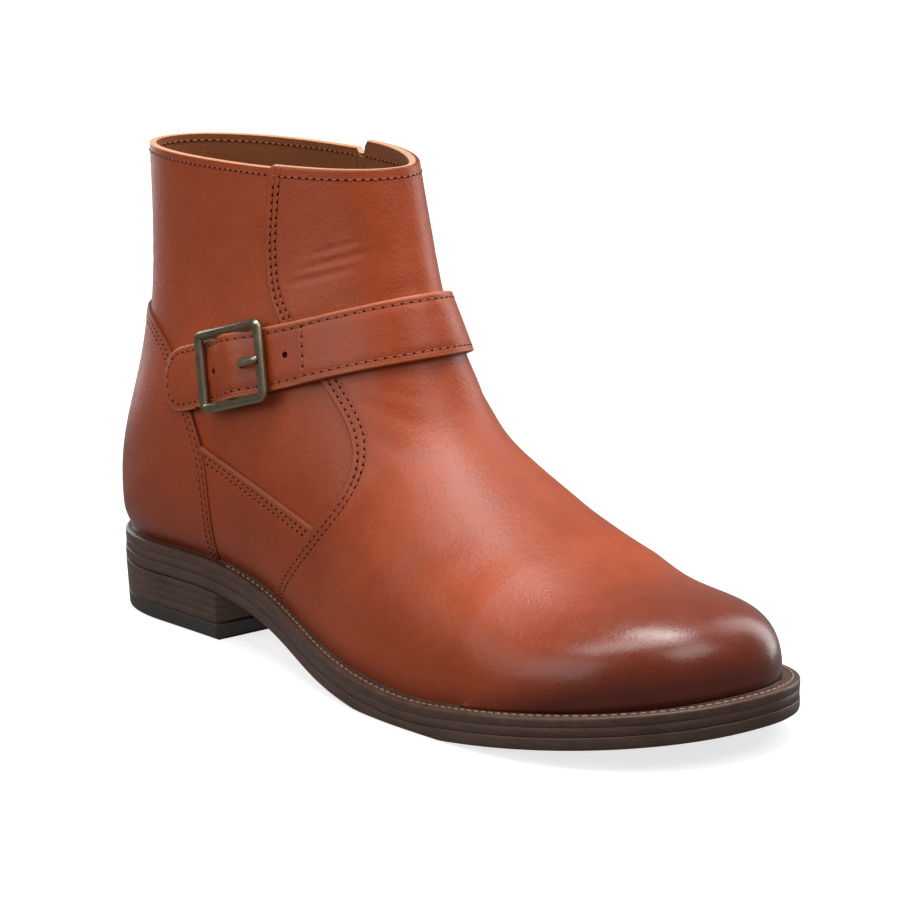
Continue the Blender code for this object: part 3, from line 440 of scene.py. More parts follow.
# Upper: tan calf leather pulled over the last, lasted under and sewn to the welt.
# The sections below are the last's own, so every panel lies on the same form. The rear of the upper,
# the quarter, is made here.
TOE_CROWN, TOE_DROOP, SIDE_SPLIT, SIDE_EASE = 2.35, 2.1, 0.62, 1.6
SECTION_COLUMNS = ("ridge_x", "ridge_z", "lateral", "medial", "widest", "crown", "seat")
SECTIONS = (
    (0.7410, 0.3210, 0.460, 0.409, 0.74, 2.25, 2.00),
    (0.6800, 0.3670, 0.453, 0.396, 0.74, 2.20, 2.00),
    (0.6120, 0.4385, 0.418, 0.360, 0.72, 2.10, 2.00),
    (0.5510, 0.5290, 0.378, 0.323, 0.68, 2.05, 2.05),
    (0.5165, 0.6370, 0.365, 0.316, 0.62, 2.00, 2.15),
    (0.4985, 0.7060, 0.361, 0.321, 0.58, 2.00, 2.25),
    (0.4885, 0.7470, 0.361, 0.323, 0.56, 2.00, 2.30),
    (0.4820, 0.7750, 0.360, 0.326, 0.55, 2.00, 2.35),
    (0.4770, 0.8030, 0.356, 0.326, 0.54, 2.00, 2.35),
    (0.4705, 0.8355, 0.338, 0.315, 0.53, 2.05, 2.35),
    (0.4635, 0.8765, 0.303, 0.293, 0.52, 2.10, 2.35),
    (0.4550, 0.9320, 0.283, 0.272, 0.52, 2.15, 2.30),
    (0.4440, 1.0000, 0.276, 0.263, 0.52, 2.20, 2.20),
)
FOOT_ENDS = (0.741, 0.675, 0.590, 0.459, 0.302, 0.164, 0.079, 0.032, 0.0125)
BACK_ENDS = (0.1725, 0.304, 0.497, 0.731, 1.0)
HEEL_ROW, COLLAR_ROW = len(FOOT_ENDS) - 1, len(SECTIONS) - 1
BACK_COLUMNS = ("z", "x")
BACK_SEAM = ((0.1725, 0.0125), (0.2340, 0.0080), (0.3040, 0.0080), (0.3980, 0.0180), (0.4970, 0.0330),
             (0.6140, 0.0455), (0.7310, 0.0500), (0.8770, 0.0472), (1.0000, 0.0420))


def steady(stations, values):
    """Cubic that never turns back between its values."""
    xs, ys = np.asarray(stations, float), np.asarray(values, float)
    step = np.diff(xs)
    rise = np.diff(ys) / step
    slope = np.zeros(len(xs))
    same = rise[:-1] * rise[1:] > 0
    slope[1:-1][same] = 2 * rise[:-1][same] * rise[1:][same] / (rise[:-1][same] + rise[1:][same])
    slope[0], slope[-1] = rise[0], rise[-1]

    def curve(x):
        i = int(np.clip(np.searchsorted(xs, x) - 1, 0, len(step) - 1))
        t = (x - xs[i]) / step[i]
        ends = ys[i] * (1 + 2 * t) * (1 - t) ** 2 + ys[i + 1] * t * t * (3 - 2 * t)
        return ends + step[i] * (slope[i] * t * (1 - t) ** 2 + slope[i + 1] * t * t * (t - 1))
    return curve


SECTION_SCALE = dict(ridge_x=LENGTH, ridge_z=BOOT_HEIGHT, lateral=BALL_WIDTH, medial=BALL_WIDTH)
section_curve = {}
for name in SECTION_COLUMNS:
    sizes = table(SECTIONS, SECTION_COLUMNS, name) * SECTION_SCALE.get(name, 1)
    section_curve[name] = spline(range(len(SECTIONS)), sizes)
foot_end = steady(range(HEEL_ROW + 2), np.array(FOOT_ENDS + FOOT_ENDS[-1:]) * LENGTH)
back_end = steady(range(HEEL_ROW, COLLAR_ROW + 1), np.array(BACK_ENDS) * BOOT_HEIGHT)
back_seam = spline(table(BACK_SEAM, BACK_COLUMNS, "z") * BOOT_HEIGHT,
                   table(BACK_SEAM, BACK_COLUMNS, "x") * LENGTH)


def section(row):
    """Sizes of the section at a row. Rows -1 to 0 fan round the toe, later ones end on the feather line
    or the back seam."""
    size = {name: float(curve(max(row, 0))) for name, curve in section_curve.items()}
    ridge = np.array([size["ridge_x"], size["ridge_z"]])
    wide = {LATERAL: size["lateral"], MEDIAL: size["medial"]}
    crown = {LATERAL: size["crown"], MEDIAL: size["crown"]}
    widest, swing = size["widest"], 0.5 * TOE_SWING * max(0, 1 - row / 4) ** 1.5
    if row < HEEL_ROW:
        foot_x = foot_end(max(row, 0))
        end = np.array([foot_x, float(feather_height(foot_x))])
        half = {side: abs(float(feather_edge(foot_x, side))) for side in (LATERAL, MEDIAL)}
    else:
        back_z = back_end(row)
        end = np.array([float(back_seam(back_z)), back_z])
        half = {LATERAL: 0.0, MEDIAL: 0.0}
    if row < 0:
        fan = (row + 1) * math.pi / 2
        ease = math.sin(fan)
        reach, box = TOE_TIP - TOE_PIVOT, ridge[1] - end[1]
        step = 0.001
        climb = (section_curve["ridge_z"](step) - ridge[1]) / (ridge[0] - section_curve["ridge_x"](step))
        spring = (feather_height(TOE_TIP) - end[1]) / reach
        radius = ((math.cos(fan) / reach) ** TOE_CROWN + (ease / box) ** TOE_CROWN) ** (-1 / TOE_CROWN)
        lean = spring - (climb + spring) * ease ** TOE_DROOP
        ridge = end + radius * np.array([math.cos(fan), ease + math.cos(fan) * float(lean)])
        wide = {side: half[side] + (wide[side] - half[side]) * ease for side in wide}
        crown = {side: TOE_POWER[side] + (crown[side] - TOE_POWER[side]) * ease for side in crown}
        widest, swing = 1 - (1 - widest) * ease, TOE_SWING * (1 - 0.5 * ease)
    return ridge, end, half, wide, widest, crown, size["seat"], swing


def last_points(row, places):
    """Points of the last on one section. A place runs from -1, the lateral end, over the ridge at 0, to 1."""
    ridge, end, half, wide, widest, crown, seat, swing = section(row)
    places = np.asarray(places, float)
    points = np.zeros((len(places), 3))
    for side in (LATERAL, MEDIAL):
        chosen = places <= 0 if side == LATERAL else places > 0
        place = np.abs(places[chosen])
        at_end = half[side] - side * swing if half[side] > 0 else 0.0
        beyond = wide[side] - side * swing - at_end
        at_widest = at_end + 0.02 + (beyond + math.sqrt(beyond ** 2 + SIDE_EASE ** 2)) / 2
        over = np.clip(place / SIDE_SPLIT, 0, 1) * math.pi / 2
        upper_depth = widest * (1 - np.cos(over) ** (2 / crown[side]))
        upper_width = at_widest * np.sin(over) ** (2 / crown[side])
        turn = math.acos((at_end / at_widest) ** (seat / 2))
        under = np.clip((place - SIDE_SPLIT) / (1 - SIDE_SPLIT), 0, 1) * turn
        lower_depth = widest + (1 - widest) * (np.sin(under) / math.sin(turn)) ** (2 / seat)
        lower_width = at_widest * np.maximum(np.cos(under), 0) ** (2 / seat)
        low = place > SIDE_SPLIT
        depth, width = np.where(low, lower_depth, upper_depth), np.where(low, lower_width, upper_width)
        points[chosen, 0] = ridge[0] + depth * (end[0] - ridge[0])
        points[chosen, 1] = swing + side * width
        points[chosen, 2] = ridge[1] + depth * (end[1] - ridge[1])
    return points


def last_normals(row, places):
    """Outward directions of the last at the same points."""
    step = 0.002
    places = np.asarray(places, float)
    inner = np.clip(places, -0.985, 0.985) if row < HEEL_ROW else places
    along = last_points(row + step, inner) - last_points(max(row - step, -1), inner)
    across = last_points(row, inner + step) - last_points(row, inner - step)
    outward = np.cross(across, along)
    if row >= HEEL_ROW:
        outward[np.abs(places) > 0.9999, 1] = 0
    outward = unit(outward)
    if row < 0:
        sole_level = np.clip((-row - 0.4) / 0.5, 0, 1)
        pivot = np.maximum(np.clip((np.abs(places) - 0.9) / 0.095, 0, 1),
                           sole_level * np.clip((np.abs(places) - SIDE_SPLIT + 0.03) / 0.05, 0, 1))[:, None]
        outward = unit(outward + pivot * (last_normals(0, np.sign(places)) - outward))
    return outward


# Soft folds that the leather took on the last: side, x and z of both ends, half width, depth.
FOLDS = (
    (LATERAL, 14.0, 138.0, 34.0, 123.0, 1.3, 0.16),
    (LATERAL, 18.0, 141.0, 40.0, 126.0, 1.2, 0.18),
    (LATERAL, 24.0, 142.0, 44.0, 129.0, 1.1, 0.13),
    (LATERAL, 112.0, 132.0, 134.0, 139.0, 1.3, 0.16),
    (LATERAL, 114.0, 136.5, 138.0, 145.0, 1.2, 0.15),
    (LATERAL, 120.0, 143.0, 136.0, 149.0, 1.1, 0.10),
    (LATERAL, 142.0, 104.0, 160.0, 97.0, 1.5, 0.16),
    (LATERAL, 146.0, 98.0, 166.0, 88.0, 1.9, 0.20),
    (LATERAL, 150.0, 88.0, 172.0, 77.0, 2.2, 0.18),
    (LATERAL, 156.0, 78.0, 180.0, 66.0, 2.6, 0.16),
    (LATERAL, 186.0, 32.0, 202.0, 60.0, 6.0, 0.26),
    (LATERAL, 204.0, 36.0, 218.0, 54.0, 4.5, 0.16),
    (MEDIAL, 16.0, 138.0, 38.0, 124.0, 1.3, 0.16),
    (MEDIAL, 22.0, 141.0, 44.0, 129.0, 1.2, 0.14),
    (MEDIAL, 114.0, 133.0, 136.0, 141.0, 1.3, 0.15),
    (MEDIAL, 144.0, 99.0, 166.0, 88.0, 1.9, 0.20),
    (MEDIAL, 152.0, 86.0, 176.0, 73.0, 2.4, 0.18),
    (MEDIAL, 184.0, 34.0, 202.0, 60.0, 6.0, 0.26),
)


def fold_depth(points):
    """How far the folds push the surface in, with a low ridge beside each trough."""
    depth = np.zeros(len(points))
    for side, x0, z0, x1, z1, width, deep in FOLDS:
        start, run = np.array([x0, z0]), np.array([x1 - x0, z1 - z0])
        flat = points[:, (0, 2)] - start
        share = flat @ run / (run @ run)
        away = np.linalg.norm(flat - np.clip(share, 0, 1)[:, None] * run, axis=1)
        fade = np.clip(1.15 - np.abs(2 * share - 1) ** 2, 0, 1) * np.clip(points[:, 1] * side / 6, 0, 1)
        trough, ridge = np.exp(-(away / width) ** 2), np.exp(-((away - 1.9 * width) / width) ** 2)
        depth += deep * fade * (trough - 0.45 * ridge)
    return depth


HEEL_EASE, HEEL_PASSES = 0.6, 60


def smooth_step(value, low, high):
    share = np.clip((value - low) / (high - low), 0, 1)
    return share * share * (3 - 2 * share)


def form_grid(rows, places):
    """The form over a grid of rows and places, eased beside the heel.
    Gives points with outward directions, and triangles."""
    points = np.array([last_points(row, places) for row in rows])
    outward = np.array([last_normals(row, places) for row in rows])
    ease = np.exp(-((rows - HEEL_ROW) / HEEL_EASE) ** 2)[:, None, None]
    ease = ease * (1 - smooth_step(np.abs(places), 0.9, 0.99))[None, :, None]
    for _ in range(HEEL_PASSES):
        for sheet in (points, outward):
            sheet[1:-1] += ease[1:-1] * (sheet[:-2] - 2 * sheet[1:-1] + sheet[2:]) / 4
    wide = len(places)
    points, outward = points.reshape(-1, 3), outward.reshape(-1, 3)
    outward = unit(outward)
    points = points - outward * fold_depth(points)[:, None]
    corner = (np.arange(len(rows) - 1)[:, None] * wide + np.arange(wide - 1)).ravel()
    low = np.column_stack([corner, corner + 1, corner + wide + 1])
    high = np.column_stack([corner, corner + wide + 1, corner + wide])
    return np.hstack([points, outward]), np.vstack([low, high])


def split(data, triangles, values):
    """Cut triangles where a value crosses zero. Gives the rows of data, the kept triangles and the others."""
    values = np.where(np.abs(values) < 1e-6, 1e-6, values)
    above = values > 0
    count = above[triangles].sum(1)
    crossing = triangles[(count == 1) | (count == 2)]
    signs = above[crossing]
    lone = np.where(signs.sum(1) == 1, signs.argmax(1), (~signs).argmax(1))
    turned = np.take_along_axis(crossing, (lone[:, None] + np.arange(3)) % 3, 1)
    edges = np.vstack([turned[:, (0, 1)], turned[:, (0, 2)]])
    unique, where = np.unique(np.sort(edges, axis=1), axis=0, return_inverse=True)
    first, second = values[unique[:, 0]], values[unique[:, 1]]
    share = (first / (first - second))[:, None]
    fresh = data[unique[:, 0]] * (1 - share) + data[unique[:, 1]] * share
    cut = (len(data) + where.ravel()).reshape(2, -1)
    tip = np.column_stack([turned[:, 0], cut[0], cut[1]])
    rest = np.vstack([np.column_stack([cut[0], turned[:, 1], turned[:, 2]]),
                      np.column_stack([cut[0], turned[:, 2], cut[1]])])
    tip_above = above[turned[:, 0]]
    kept = np.vstack([triangles[count == 3], tip[tip_above], rest[np.tile(~tip_above, 2)]])
    others = np.vstack([triangles[count == 0], tip[~tip_above], rest[np.tile(tip_above, 2)]])
    return np.vstack([data, fresh]), kept, others


def edge_distance(points, line):
    """Signed distance in side view to an edge line, positive on its left as the line runs."""
    flat = points[:, (0, 2)]
    best = np.full(len(points), 1e9)
    signed = np.zeros(len(points))
    for start, stop in zip(line[:-1], line[1:]):
        run = stop - start
        share = np.clip((flat - start) @ run / (run @ run), 0, 1)
        gap = flat - start - share[:, None] * run
        away = np.einsum("ij,ij->i", gap, gap)
        closer = away < best
        best[closer] = away[closer]
        turn = run[0] * (flat[:, 1] - start[1]) - run[1] * (flat[:, 0] - start[0])
        signed[closer] = np.sign(turn[closer])
    return np.sqrt(best) * signed


def smooth_edge(points, per_span=8):
    """A smooth line through the points of a side-view edge."""
    spans = np.arange(len(points))
    fine = np.linspace(0, len(points) - 1, per_span * (len(points) - 1) + 1)
    return np.column_stack([spline(spans, [point[i] for point in points])(fine) for i in range(2)])


FAN = np.linspace(-1, 0, 46)[:-1]
BODY = np.concatenate([np.linspace(0, 4, 105), np.linspace(4, HEEL_ROW, 66)[1:],
                       np.linspace(HEEL_ROW, COLLAR_ROW, 85)[1:]])
FORM_ROWS = np.concatenate([FAN, BODY])
HALF = np.concatenate([np.linspace(0, SIDE_SPLIT, 70), np.linspace(SIDE_SPLIT, 1, 55)[1:]])
PLACES = np.concatenate([-HALF[::-1], HALF[1:]])
BURNISH_AND_SHADE = {"toe": 0.72, "toe_low": 0.3, "heel": 0.4, "welt_shade": 0.45}


def burnish_and_shade(points):
    """How far the leather darkens: burnish at toe and heel, darker on the toe's lower front, painted shade by
    the welt.
    """
    x, z = points[:, 0], points[:, 2]
    brushed = {"toe": smooth_step(x, 222, 286),
               "toe_low": smooth_step(x, 236, 296) * smooth_step(-z, -46, -16),
               "heel": smooth_step(-x, -74, -6) * smooth_step(-z, -116, -62),
               # painted shade where the upper meets the welt
               "welt_shade": smooth_step(feather_height(x) - z, -9, -0.5)}
    return np.clip(sum(BURNISH_AND_SHADE[part] * share for part, share in brushed.items()), 0, 1)


# The leather is clouded, darker where it is burnished, and finely grained. Painted shade darkens it along
# the welt, at cut edges and in stitch channels, and folds are paler, partly with a painted highlight.
TAN_DARK, TAN_LIGHT = (0.215, 0.031, 0.0055), (0.410, 0.063, 0.0105)
TAN_BURNISHED_AND_SHADED, TAN_EDGE_SHADE, TAN_FOLD_AND_HIGHLIGHT = (0.085, 0.0095, 0.0028), (0.060, 0.012, 0.005), (0.56, 0.19, 0.075)
tan_leather = Finish("tan_calf", coat_roughness=0.22, specular_ior_level=0.36)
tan_spot = tan_leather.place()
cloud = tan_leather.noise(tan_spot, 24.0, 3.0)
mottle = tan_leather.noise(tan_spot, 140.0, 4.0, 0.6)
pore = tan_leather.node("TexVoronoi", {"feature": "SMOOTH_F1"},
                        {"Vector": tan_spot, "Scale": 900.0, "Smoothness": 0.6})
wrinkle = tan_leather.noise(tan_leather.place((1.3, 1.0, 0.8)), 330.0, 5.0, 0.62)
dark, edge, fold_and_highlight = (tan_leather.mask(name) for name in ("burnish_and_shade", "edge", "fold_and_highlight"))
tan_colour = tan_leather.mix((cloud * 0.9 + mottle * 0.6 - 0.25).clamp(), TAN_DARK, TAN_LIGHT)
for share, colour in ((dark * (0.7 + 0.5 * cloud), TAN_BURNISHED_AND_SHADED), (edge * 0.65, TAN_EDGE_SHADE),
                      (fold_and_highlight * 0.55, TAN_FOLD_AND_HIGHLIGHT)):
    tan_colour = tan_leather.mix(share.clamp(), tan_colour, colour)
grain = (pore * 0.4 + wrinkle * 0.9) * (1 - 0.65 * dark)
tan_leather.set(base_color=tan_colour, roughness=(0.33 + 0.2 * mottle - 0.17 * dark).clamp(),
                coat_weight=(0.02 + 0.24 * dark).clamp(), normal=tan_leather.bump(grain, 0.00034, 0.54))
VAMP_EDGE = {
    LATERAL: smooth_edge((
        (102.5, 182.0), (101.0, 153.0), (102.2, 137.0), (110.5, 120.0), (133.5, 99.5), (146.0, 87.0),
        (150.8, 77.5), (150.0, 68.0), (142.5, 57.0), (129.0, 43.0), (112.5, 26.5), (104.0, 14.0))),
    MEDIAL: smooth_edge((
        (89.5, 182.0), (89.5, 153.0), (92.5, 137.0), (104.0, 120.0), (131.0, 99.5), (143.5, 87.0),
        (148.3, 77.5), (147.5, 68.0), (140.0, 57.0), (127.0, 43.0), (111.0, 26.5), (103.0, 14.0))),
}


def ahead_of_vamp_edge(points):
    """Distance in front of the vamp's rear edge, on each side."""
    lateral, medial = (edge_distance(points, VAMP_EDGE[side]) for side in (LATERAL, MEDIAL))
    return np.where(points[:, 1] < 0, lateral, medial)


form_data, form_triangles = form_grid(FORM_ROWS, PLACES)
vamp_distance = ahead_of_vamp_edge(form_data[:, :3])
VAMP_STAND, ZIP_STAND, ZIP_NOTCH, VAMP_LAP = 0.9, 3.2, -2.6, 9.0
NOTCH_FRONT, NOTCH_BACK, COLLAR_SEAM = 88.6, 84.2, 101.8
collar_line = last_points(COLLAR_ROW, PLACES)
zip_side, seam_side = PLACES > 0.1, PLACES < -0.1
notch_front, notch_back = (float(np.interp(-x, -collar_line[zip_side, 0], PLACES[zip_side]))
                           for x in (NOTCH_FRONT, NOTCH_BACK))
seam_place = float(np.interp(COLLAR_SEAM, collar_line[seam_side, 0], PLACES[seam_side]))


def row_rise(places):
    """How many millimetres one row climbs at the collar."""
    places = np.atleast_1d(places)
    return 10 * (last_points(COLLAR_ROW, places) - last_points(COLLAR_ROW - 0.1, places))[:, 2]


def between(places, first, last):
    """One from the first place to the last, and nothing outside them."""
    return smooth_step(places, first, first + 0.004) * smooth_step(-places, -last, 0.004 - last)


def vamp_stand(places):
    """How far the vamp stands above the collar, in millimetres: most beside the zip."""
    return VAMP_STAND + (ZIP_STAND - VAMP_STAND) * smooth_step(places, 0.1, 0.5)


def collar_stand(places):
    """How far the collar stands above its row, in rows: cut down at the zip, and higher on the vamp."""
    height = between(places, seam_place, notch_front) * vamp_stand(places)
    return (height + between(places, notch_front, notch_back) * ZIP_NOTCH) / row_rise(places)


collar_rise = row_rise(PLACES)
collar_left = (COLLAR_ROW + np.minimum(collar_stand(PLACES), 0) - FORM_ROWS[:, None]) * collar_rise
quarter_data = np.column_stack([form_data, collar_left.ravel()])
quarter_data, quarter_triangles, _ = split(quarter_data, form_triangles, VAMP_LAP - vamp_distance)
quarter_data, quarter_triangles, _ = split(quarter_data, quarter_triangles, quarter_data[:, -1] + 0.001)
quarter_points = quarter_data[:, :3]
add_piece("quarter", quarter_points, quarter_triangles, tan_leather, slot="tan_leather",
          masks={"burnish_and_shade": burnish_and_shade(quarter_points), "edge": np.zeros(len(quarter_points))})

# Lining and collar: soft brown leather inside, turned level with the outside at the collar.
# The two cut edges show side by side as a pale rim.
LINING_DEPTH = 2.4
lining_rows = np.concatenate([np.linspace(-1, 0, 14)[:-1], np.linspace(0, COLLAR_ROW, 110)])
lining_half = np.concatenate([np.linspace(0, SIDE_SPLIT, 60), np.linspace(SIDE_SPLIT, 1, 24)[1:]])
lining_places = np.concatenate([-lining_half[::-1], lining_half[1:]])
lining_data, lining_triangles = form_grid(lining_rows, lining_places)
lining_points = (lining_data[:, :3] - lining_data[:, 3:6] * LINING_DEPTH).reshape(len(lining_rows), -1, 3)
lining_stand = collar_stand(lining_places)
for j, place in enumerate(lining_places):
    for i in np.flatnonzero(lining_rows > COLLAR_ROW - 1):
        row = lining_rows[i] + (lining_rows[i] - COLLAR_ROW + 1) * lining_stand[j]
        lining_points[i, j] = (last_points(row, [place]) - LINING_DEPTH * last_normals(row, [place]))[0]
lining_points = lining_points.reshape(-1, 3)
lining_points[:, 2] = np.maximum(lining_points[:, 2], feather_height(lining_points[:, 0]) + 0.2)
LINING_DARK, LINING_LIGHT = (0.125, 0.036, 0.010), (0.27, 0.086, 0.025)
lining = Finish("lining_leather", roughness=0.8, sheen_weight=0.06, sheen_roughness=0.5,
                specular_ior_level=0.2)
nap = lining.noise(lining.place(), 700.0, 4.0, 0.65)
nap_cloud = lining.noise(lining.place(), 45.0, 3.0)
lining.set(base_color=lining.mix((nap * 0.5 + nap_cloud * 0.5).clamp(), LINING_DARK, LINING_LIGHT),
           normal=lining.bump(nap, 0.0004, 0.5))
add_piece("lining", lining_points, lining_triangles[:, ::-1], lining, slot="tan_leather",
          stands_for=("upper",))

RIM_PROFILE = ((0.0, 0.0), (0.02, 0.22), (0.16, 0.42), (0.34, 0.46), (0.46, 0.34), (0.52, 0.22), (0.58, 0.34),
               (0.72, 0.44), (0.88, 0.36), (0.98, 0.16), (1.0, 0.0))


def form_line(rows, places):
    """Points and outward directions of the form at pairs of a row and a place."""
    return (np.array([form(row, [place])[0] for row, place in zip(rows, places)])
            for form in (last_points, last_normals))


collar, collar_out = form_line(COLLAR_ROW + lining_stand, lining_places)
rim_rings = [collar - collar_out * LINING_DEPTH * share + rise * up for share, rise in RIM_PROFILE]
raw_edge = speckled("raw_leather_edge", (600.0, 3.0), (0.42, 0.18, 0.085), (0.68, 0.34, 0.19),
                    relief=(0.0003, 0.5), stretch=(1.0, 1.0, 3.0), roughness=0.6)
add_piece("collar_rim", np.vstack(rim_rings), sheet_faces(len(rim_rings), len(lining_places), looped=False),
          raw_edge, slot="tan_leather")

# Side panels: wedges of the same leather below a folded, raised top edge, one on each side.
# They are sewn to the quarter under the vamp and the counter, with two rows of stitches along the fold.
PANEL_GAP, PANEL, EDGE_ROUND, EDGE_SHADE_WIDTH = 0.3, 1.1, 0.55, 0.6
CHANNEL_HALF, CHANNEL_DEPTH = 0.5, 0.16
BEAD_IN, BEAD_HALF = 1.0, 0.9
TO_EDGE, TO_SEAM = 6, 7


def add_panel(name, data, triangles, distance, stands_for, seam, channels,
              gap=PANEL_GAP, thick=PANEL, bead=0.0):
    """A panel of leather on the form where distance is positive. Its cut edge is rounded over and closed
    down to the form, and its seams lie in shallow channels. Painted shade darkens the cut edge, the wall
    that closes it and the channels, and a raised fold gets a paler tint, partly a painted highlight.
    Gives the surface that its stitches lie on."""
    data = np.column_stack([data, distance, seam])
    data, triangles, _ = split(data, triangles, data[:, TO_EDGE])
    cuts = [(TO_EDGE, level) for level in (0.15, 0.35, 0.7)]
    cuts += [(TO_SEAM, channel + step) for channel in channels for step in (-CHANNEL_HALF, 0, CHANNEL_HALF)]
    for column, level in cuts:
        data, over, under = split(data, triangles, data[:, column] - level)
        triangles = np.vstack([over, under])
    used, triangles = np.unique(triangles, return_inverse=True)
    data, triangles = data[used], triangles.reshape(-1, 3)
    inset = np.clip(1 - data[:, TO_EDGE] / EDGE_ROUND, 0, 1)
    pressed = 0 * inset
    for channel in channels:
        pressed += np.clip(1 - np.abs(data[:, TO_SEAM] - channel) / CHANNEL_HALF, 0, 1)
    folded = bead * np.exp(-((data[:, TO_SEAM] - BEAD_IN) / BEAD_HALF) ** 2)
    height = gap + thick * (0.45 + 0.55 * np.sqrt(1 - inset ** 2)) - CHANNEL_DEPTH * pressed + folded
    points = data[:, :3] + data[:, 3:6] * height[:, None]
    edges = np.vstack([triangles[:, (0, 1)], triangles[:, (1, 2)], triangles[:, (2, 0)]])
    _, first, count = np.unique(np.sort(edges, axis=1), axis=0, return_index=True, return_counts=True)
    rim = edges[first[count == 1]]
    foot = np.unique(rim)
    feet = data[foot, :3] - data[foot, 3:6] * PANEL_GAP
    number = {vertex: len(points) + i for i, vertex in enumerate(foot)}
    faces = triangles.tolist() + [(b, a, number[a], number[b]) for a, b in rim.tolist()]
    # Painted shade: darker towards the cut edge and in the stitch channels.
    wear_and_painted_light = np.clip(1 - data[:, TO_EDGE] / EDGE_SHADE_WIDTH, 0, 1) + 0.35 * pressed
    # A raised fold gets a paler tint: the leather's own paler fold with a painted highlight.
    masks = {"burnish_and_shade": np.concatenate([burnish_and_shade(points), burnish_and_shade(feet)]),
             "edge": np.concatenate([wear_and_painted_light, np.ones(len(feet))]),
             "fold_and_highlight": np.concatenate([folded, np.zeros(len(feet))])}
    add_piece(name, np.vstack([points, feet]), faces, tan_leather, slot="tan_leather", stands_for=stands_for,
              masks=masks)
    return BVHTree.FromPolygons(points.tolist(), triangles.tolist())


def seam_row(edge, offset):
    """A side-view line beside an edge, on its left as the edge runs."""
    run = unit(np.gradient(edge, axis=0))
    return edge + offset * np.column_stack([-run[:, 1], run[:, 0]])


DRAPE_STEP, OUTSIDE = 0.6, 120.0


def drape(line, side, surface, high=math.inf):
    """A side-view line laid on a surface from one side, up to a height."""
    run = run_length(line)
    spots = np.arange(0, run[-1], DRAPE_STEP)
    hits = []
    for x, z in zip(np.interp(spots, run, line[:, 0]), np.interp(spots, run, line[:, 1])):
        hit = surface.ray_cast(Vector((x, side * OUTSIDE, z)), Vector((0, -side, 0)))[0]
        if hit is not None and z < high:
            hits.append(hit)
    return np.array(hits)


STITCH, STITCH_SHARE, THREAD, NEEDLE = 2.7, 0.66, 0.3, 0.36
HOLE_LONG, HOLE_FLAT, THREAD_LIFT = 3.1 * NEEDLE, 0.22, 0.03
tan_thread = speckled("tan_thread", (1800.0, 2.0), (0.19, 0.042, 0.014), (0.38, 0.098, 0.034),
                      relief=(0.0002, 0.5), roughness=0.55)
# Needle holes are dark discs: painted shade for the holes' depth.
painted_hole_shade = Finish("needle_hole_shade", base_color=(0.022, 0.0055, 0.0025), roughness=1.0,
                     specular_ior_level=0.0)


def sew(name, lines, surface, pitch=STITCH):
    """Rows of lock stitches: bits of thread with a needle hole at each end, a dark disc of painted shade."""
    bits, holes = [], []
    for line in lines:
        if len(line) < 4:
            continue
        spots, runs = evenly(line, pitch)
        for shift, places in ((0, bits), (0.5, holes)):
            for spot, run in zip(spots + shift * pitch * runs, runs):
                hit, normal, _, _ = surface.find_nearest(Vector(spot))
                off = np.array(normal)
                places.append((np.array(hit) + off * THREAD_LIFT, unit(run - off * (run @ off)), off))
    add_piece(name, *thread_bits(bits, STITCH_SHARE * pitch, THREAD), tan_thread, slot="tan_leather")
    add_piece(name + "_hole_shade", *thread_bits(holes, HOLE_LONG, NEEDLE, flat=HOLE_FLAT), painted_hole_shade,
              slot="tan_leather")


COUNTER_EDGE = smooth_edge((
    (-12.0, 115.0), (13.0, 114.0), (31.0, 111.0), (45.0, 106.5), (56.0, 99.5), (65.0, 91.0), (72.5, 82.0),
    (78.5, 71.0), (80.8, 60.0), (80.8, 48.0), (78.5, 36.0), (74.5, 24.0), (70.0, 10.0)))
WEDGE_TOP = smooth_edge(((60.0, 77.3), (76.0, 72.6), (105.0, 64.0), (150.0, 50.2), (170.0, 44.0)))
WEDGE_GAP, WEDGE_THICK, WEDGE_BEAD, WEDGE_LAP = 0.05, 0.8, 0.35, 6.0
WEDGE_BACK, WEDGE_FRONT, WEDGE_HIGH, WEDGE_OUT = 55, 165, 85, 5
WEDGE_ROWS = (2.9, 5.0)
form_x, form_y, form_z = form_data[:, :3].T
below_fold = -edge_distance(form_data[:, :3], WEDGE_TOP)
ahead_of_counter = edge_distance(form_data[:, :3], COUNTER_EDGE)
wedge_reach = np.minimum(below_fold, np.minimum(WEDGE_LAP - vamp_distance, WEDGE_LAP + ahead_of_counter))
for side, name in ((LATERAL, "side_panel_lateral"), (MEDIAL, "side_panel_medial")):
    near = (form_x > WEDGE_BACK) & (form_x < WEDGE_FRONT) & (form_z < WEDGE_HIGH)
    near &= form_y * side > WEDGE_OUT
    chosen = form_triangles[near[form_triangles].all(1)]
    wedge_surface = add_panel(name + "_leather", form_data, chosen, wedge_reach, (name,), below_fold,
                              WEDGE_ROWS, WEDGE_GAP, WEDGE_THICK, WEDGE_BEAD)
    wedge_seams = [drape(seam_row(WEDGE_TOP, -row), side, wedge_surface) for row in WEDGE_ROWS]
    sew(name + "_stitches", wedge_seams, wedge_surface)

# Heel counter: a stiff panel of the same leather, wrapped round the back over the quarter.
# It is sewn down with two rows of stitches along its front edge.
COUNTER_GAP, COUNTER_FRONT, COUNTER_HIGH = 0.25, 100, 130
COUNTER_ROWS = (1.9, 4.1)
near = (form_x < COUNTER_FRONT) & (form_z < COUNTER_HIGH)
chosen = form_triangles[near[form_triangles].all(1)]
counter_surface = add_panel("counter_leather", form_data, chosen, -ahead_of_counter, ("counter_panel",),
                            -ahead_of_counter, COUNTER_ROWS, COUNTER_GAP)
sew("counter_stitches", [drape(seam_row(COUNTER_EDGE, -row), side, counter_surface)
                         for side in (LATERAL, MEDIAL) for row in COUNTER_ROWS], counter_surface)

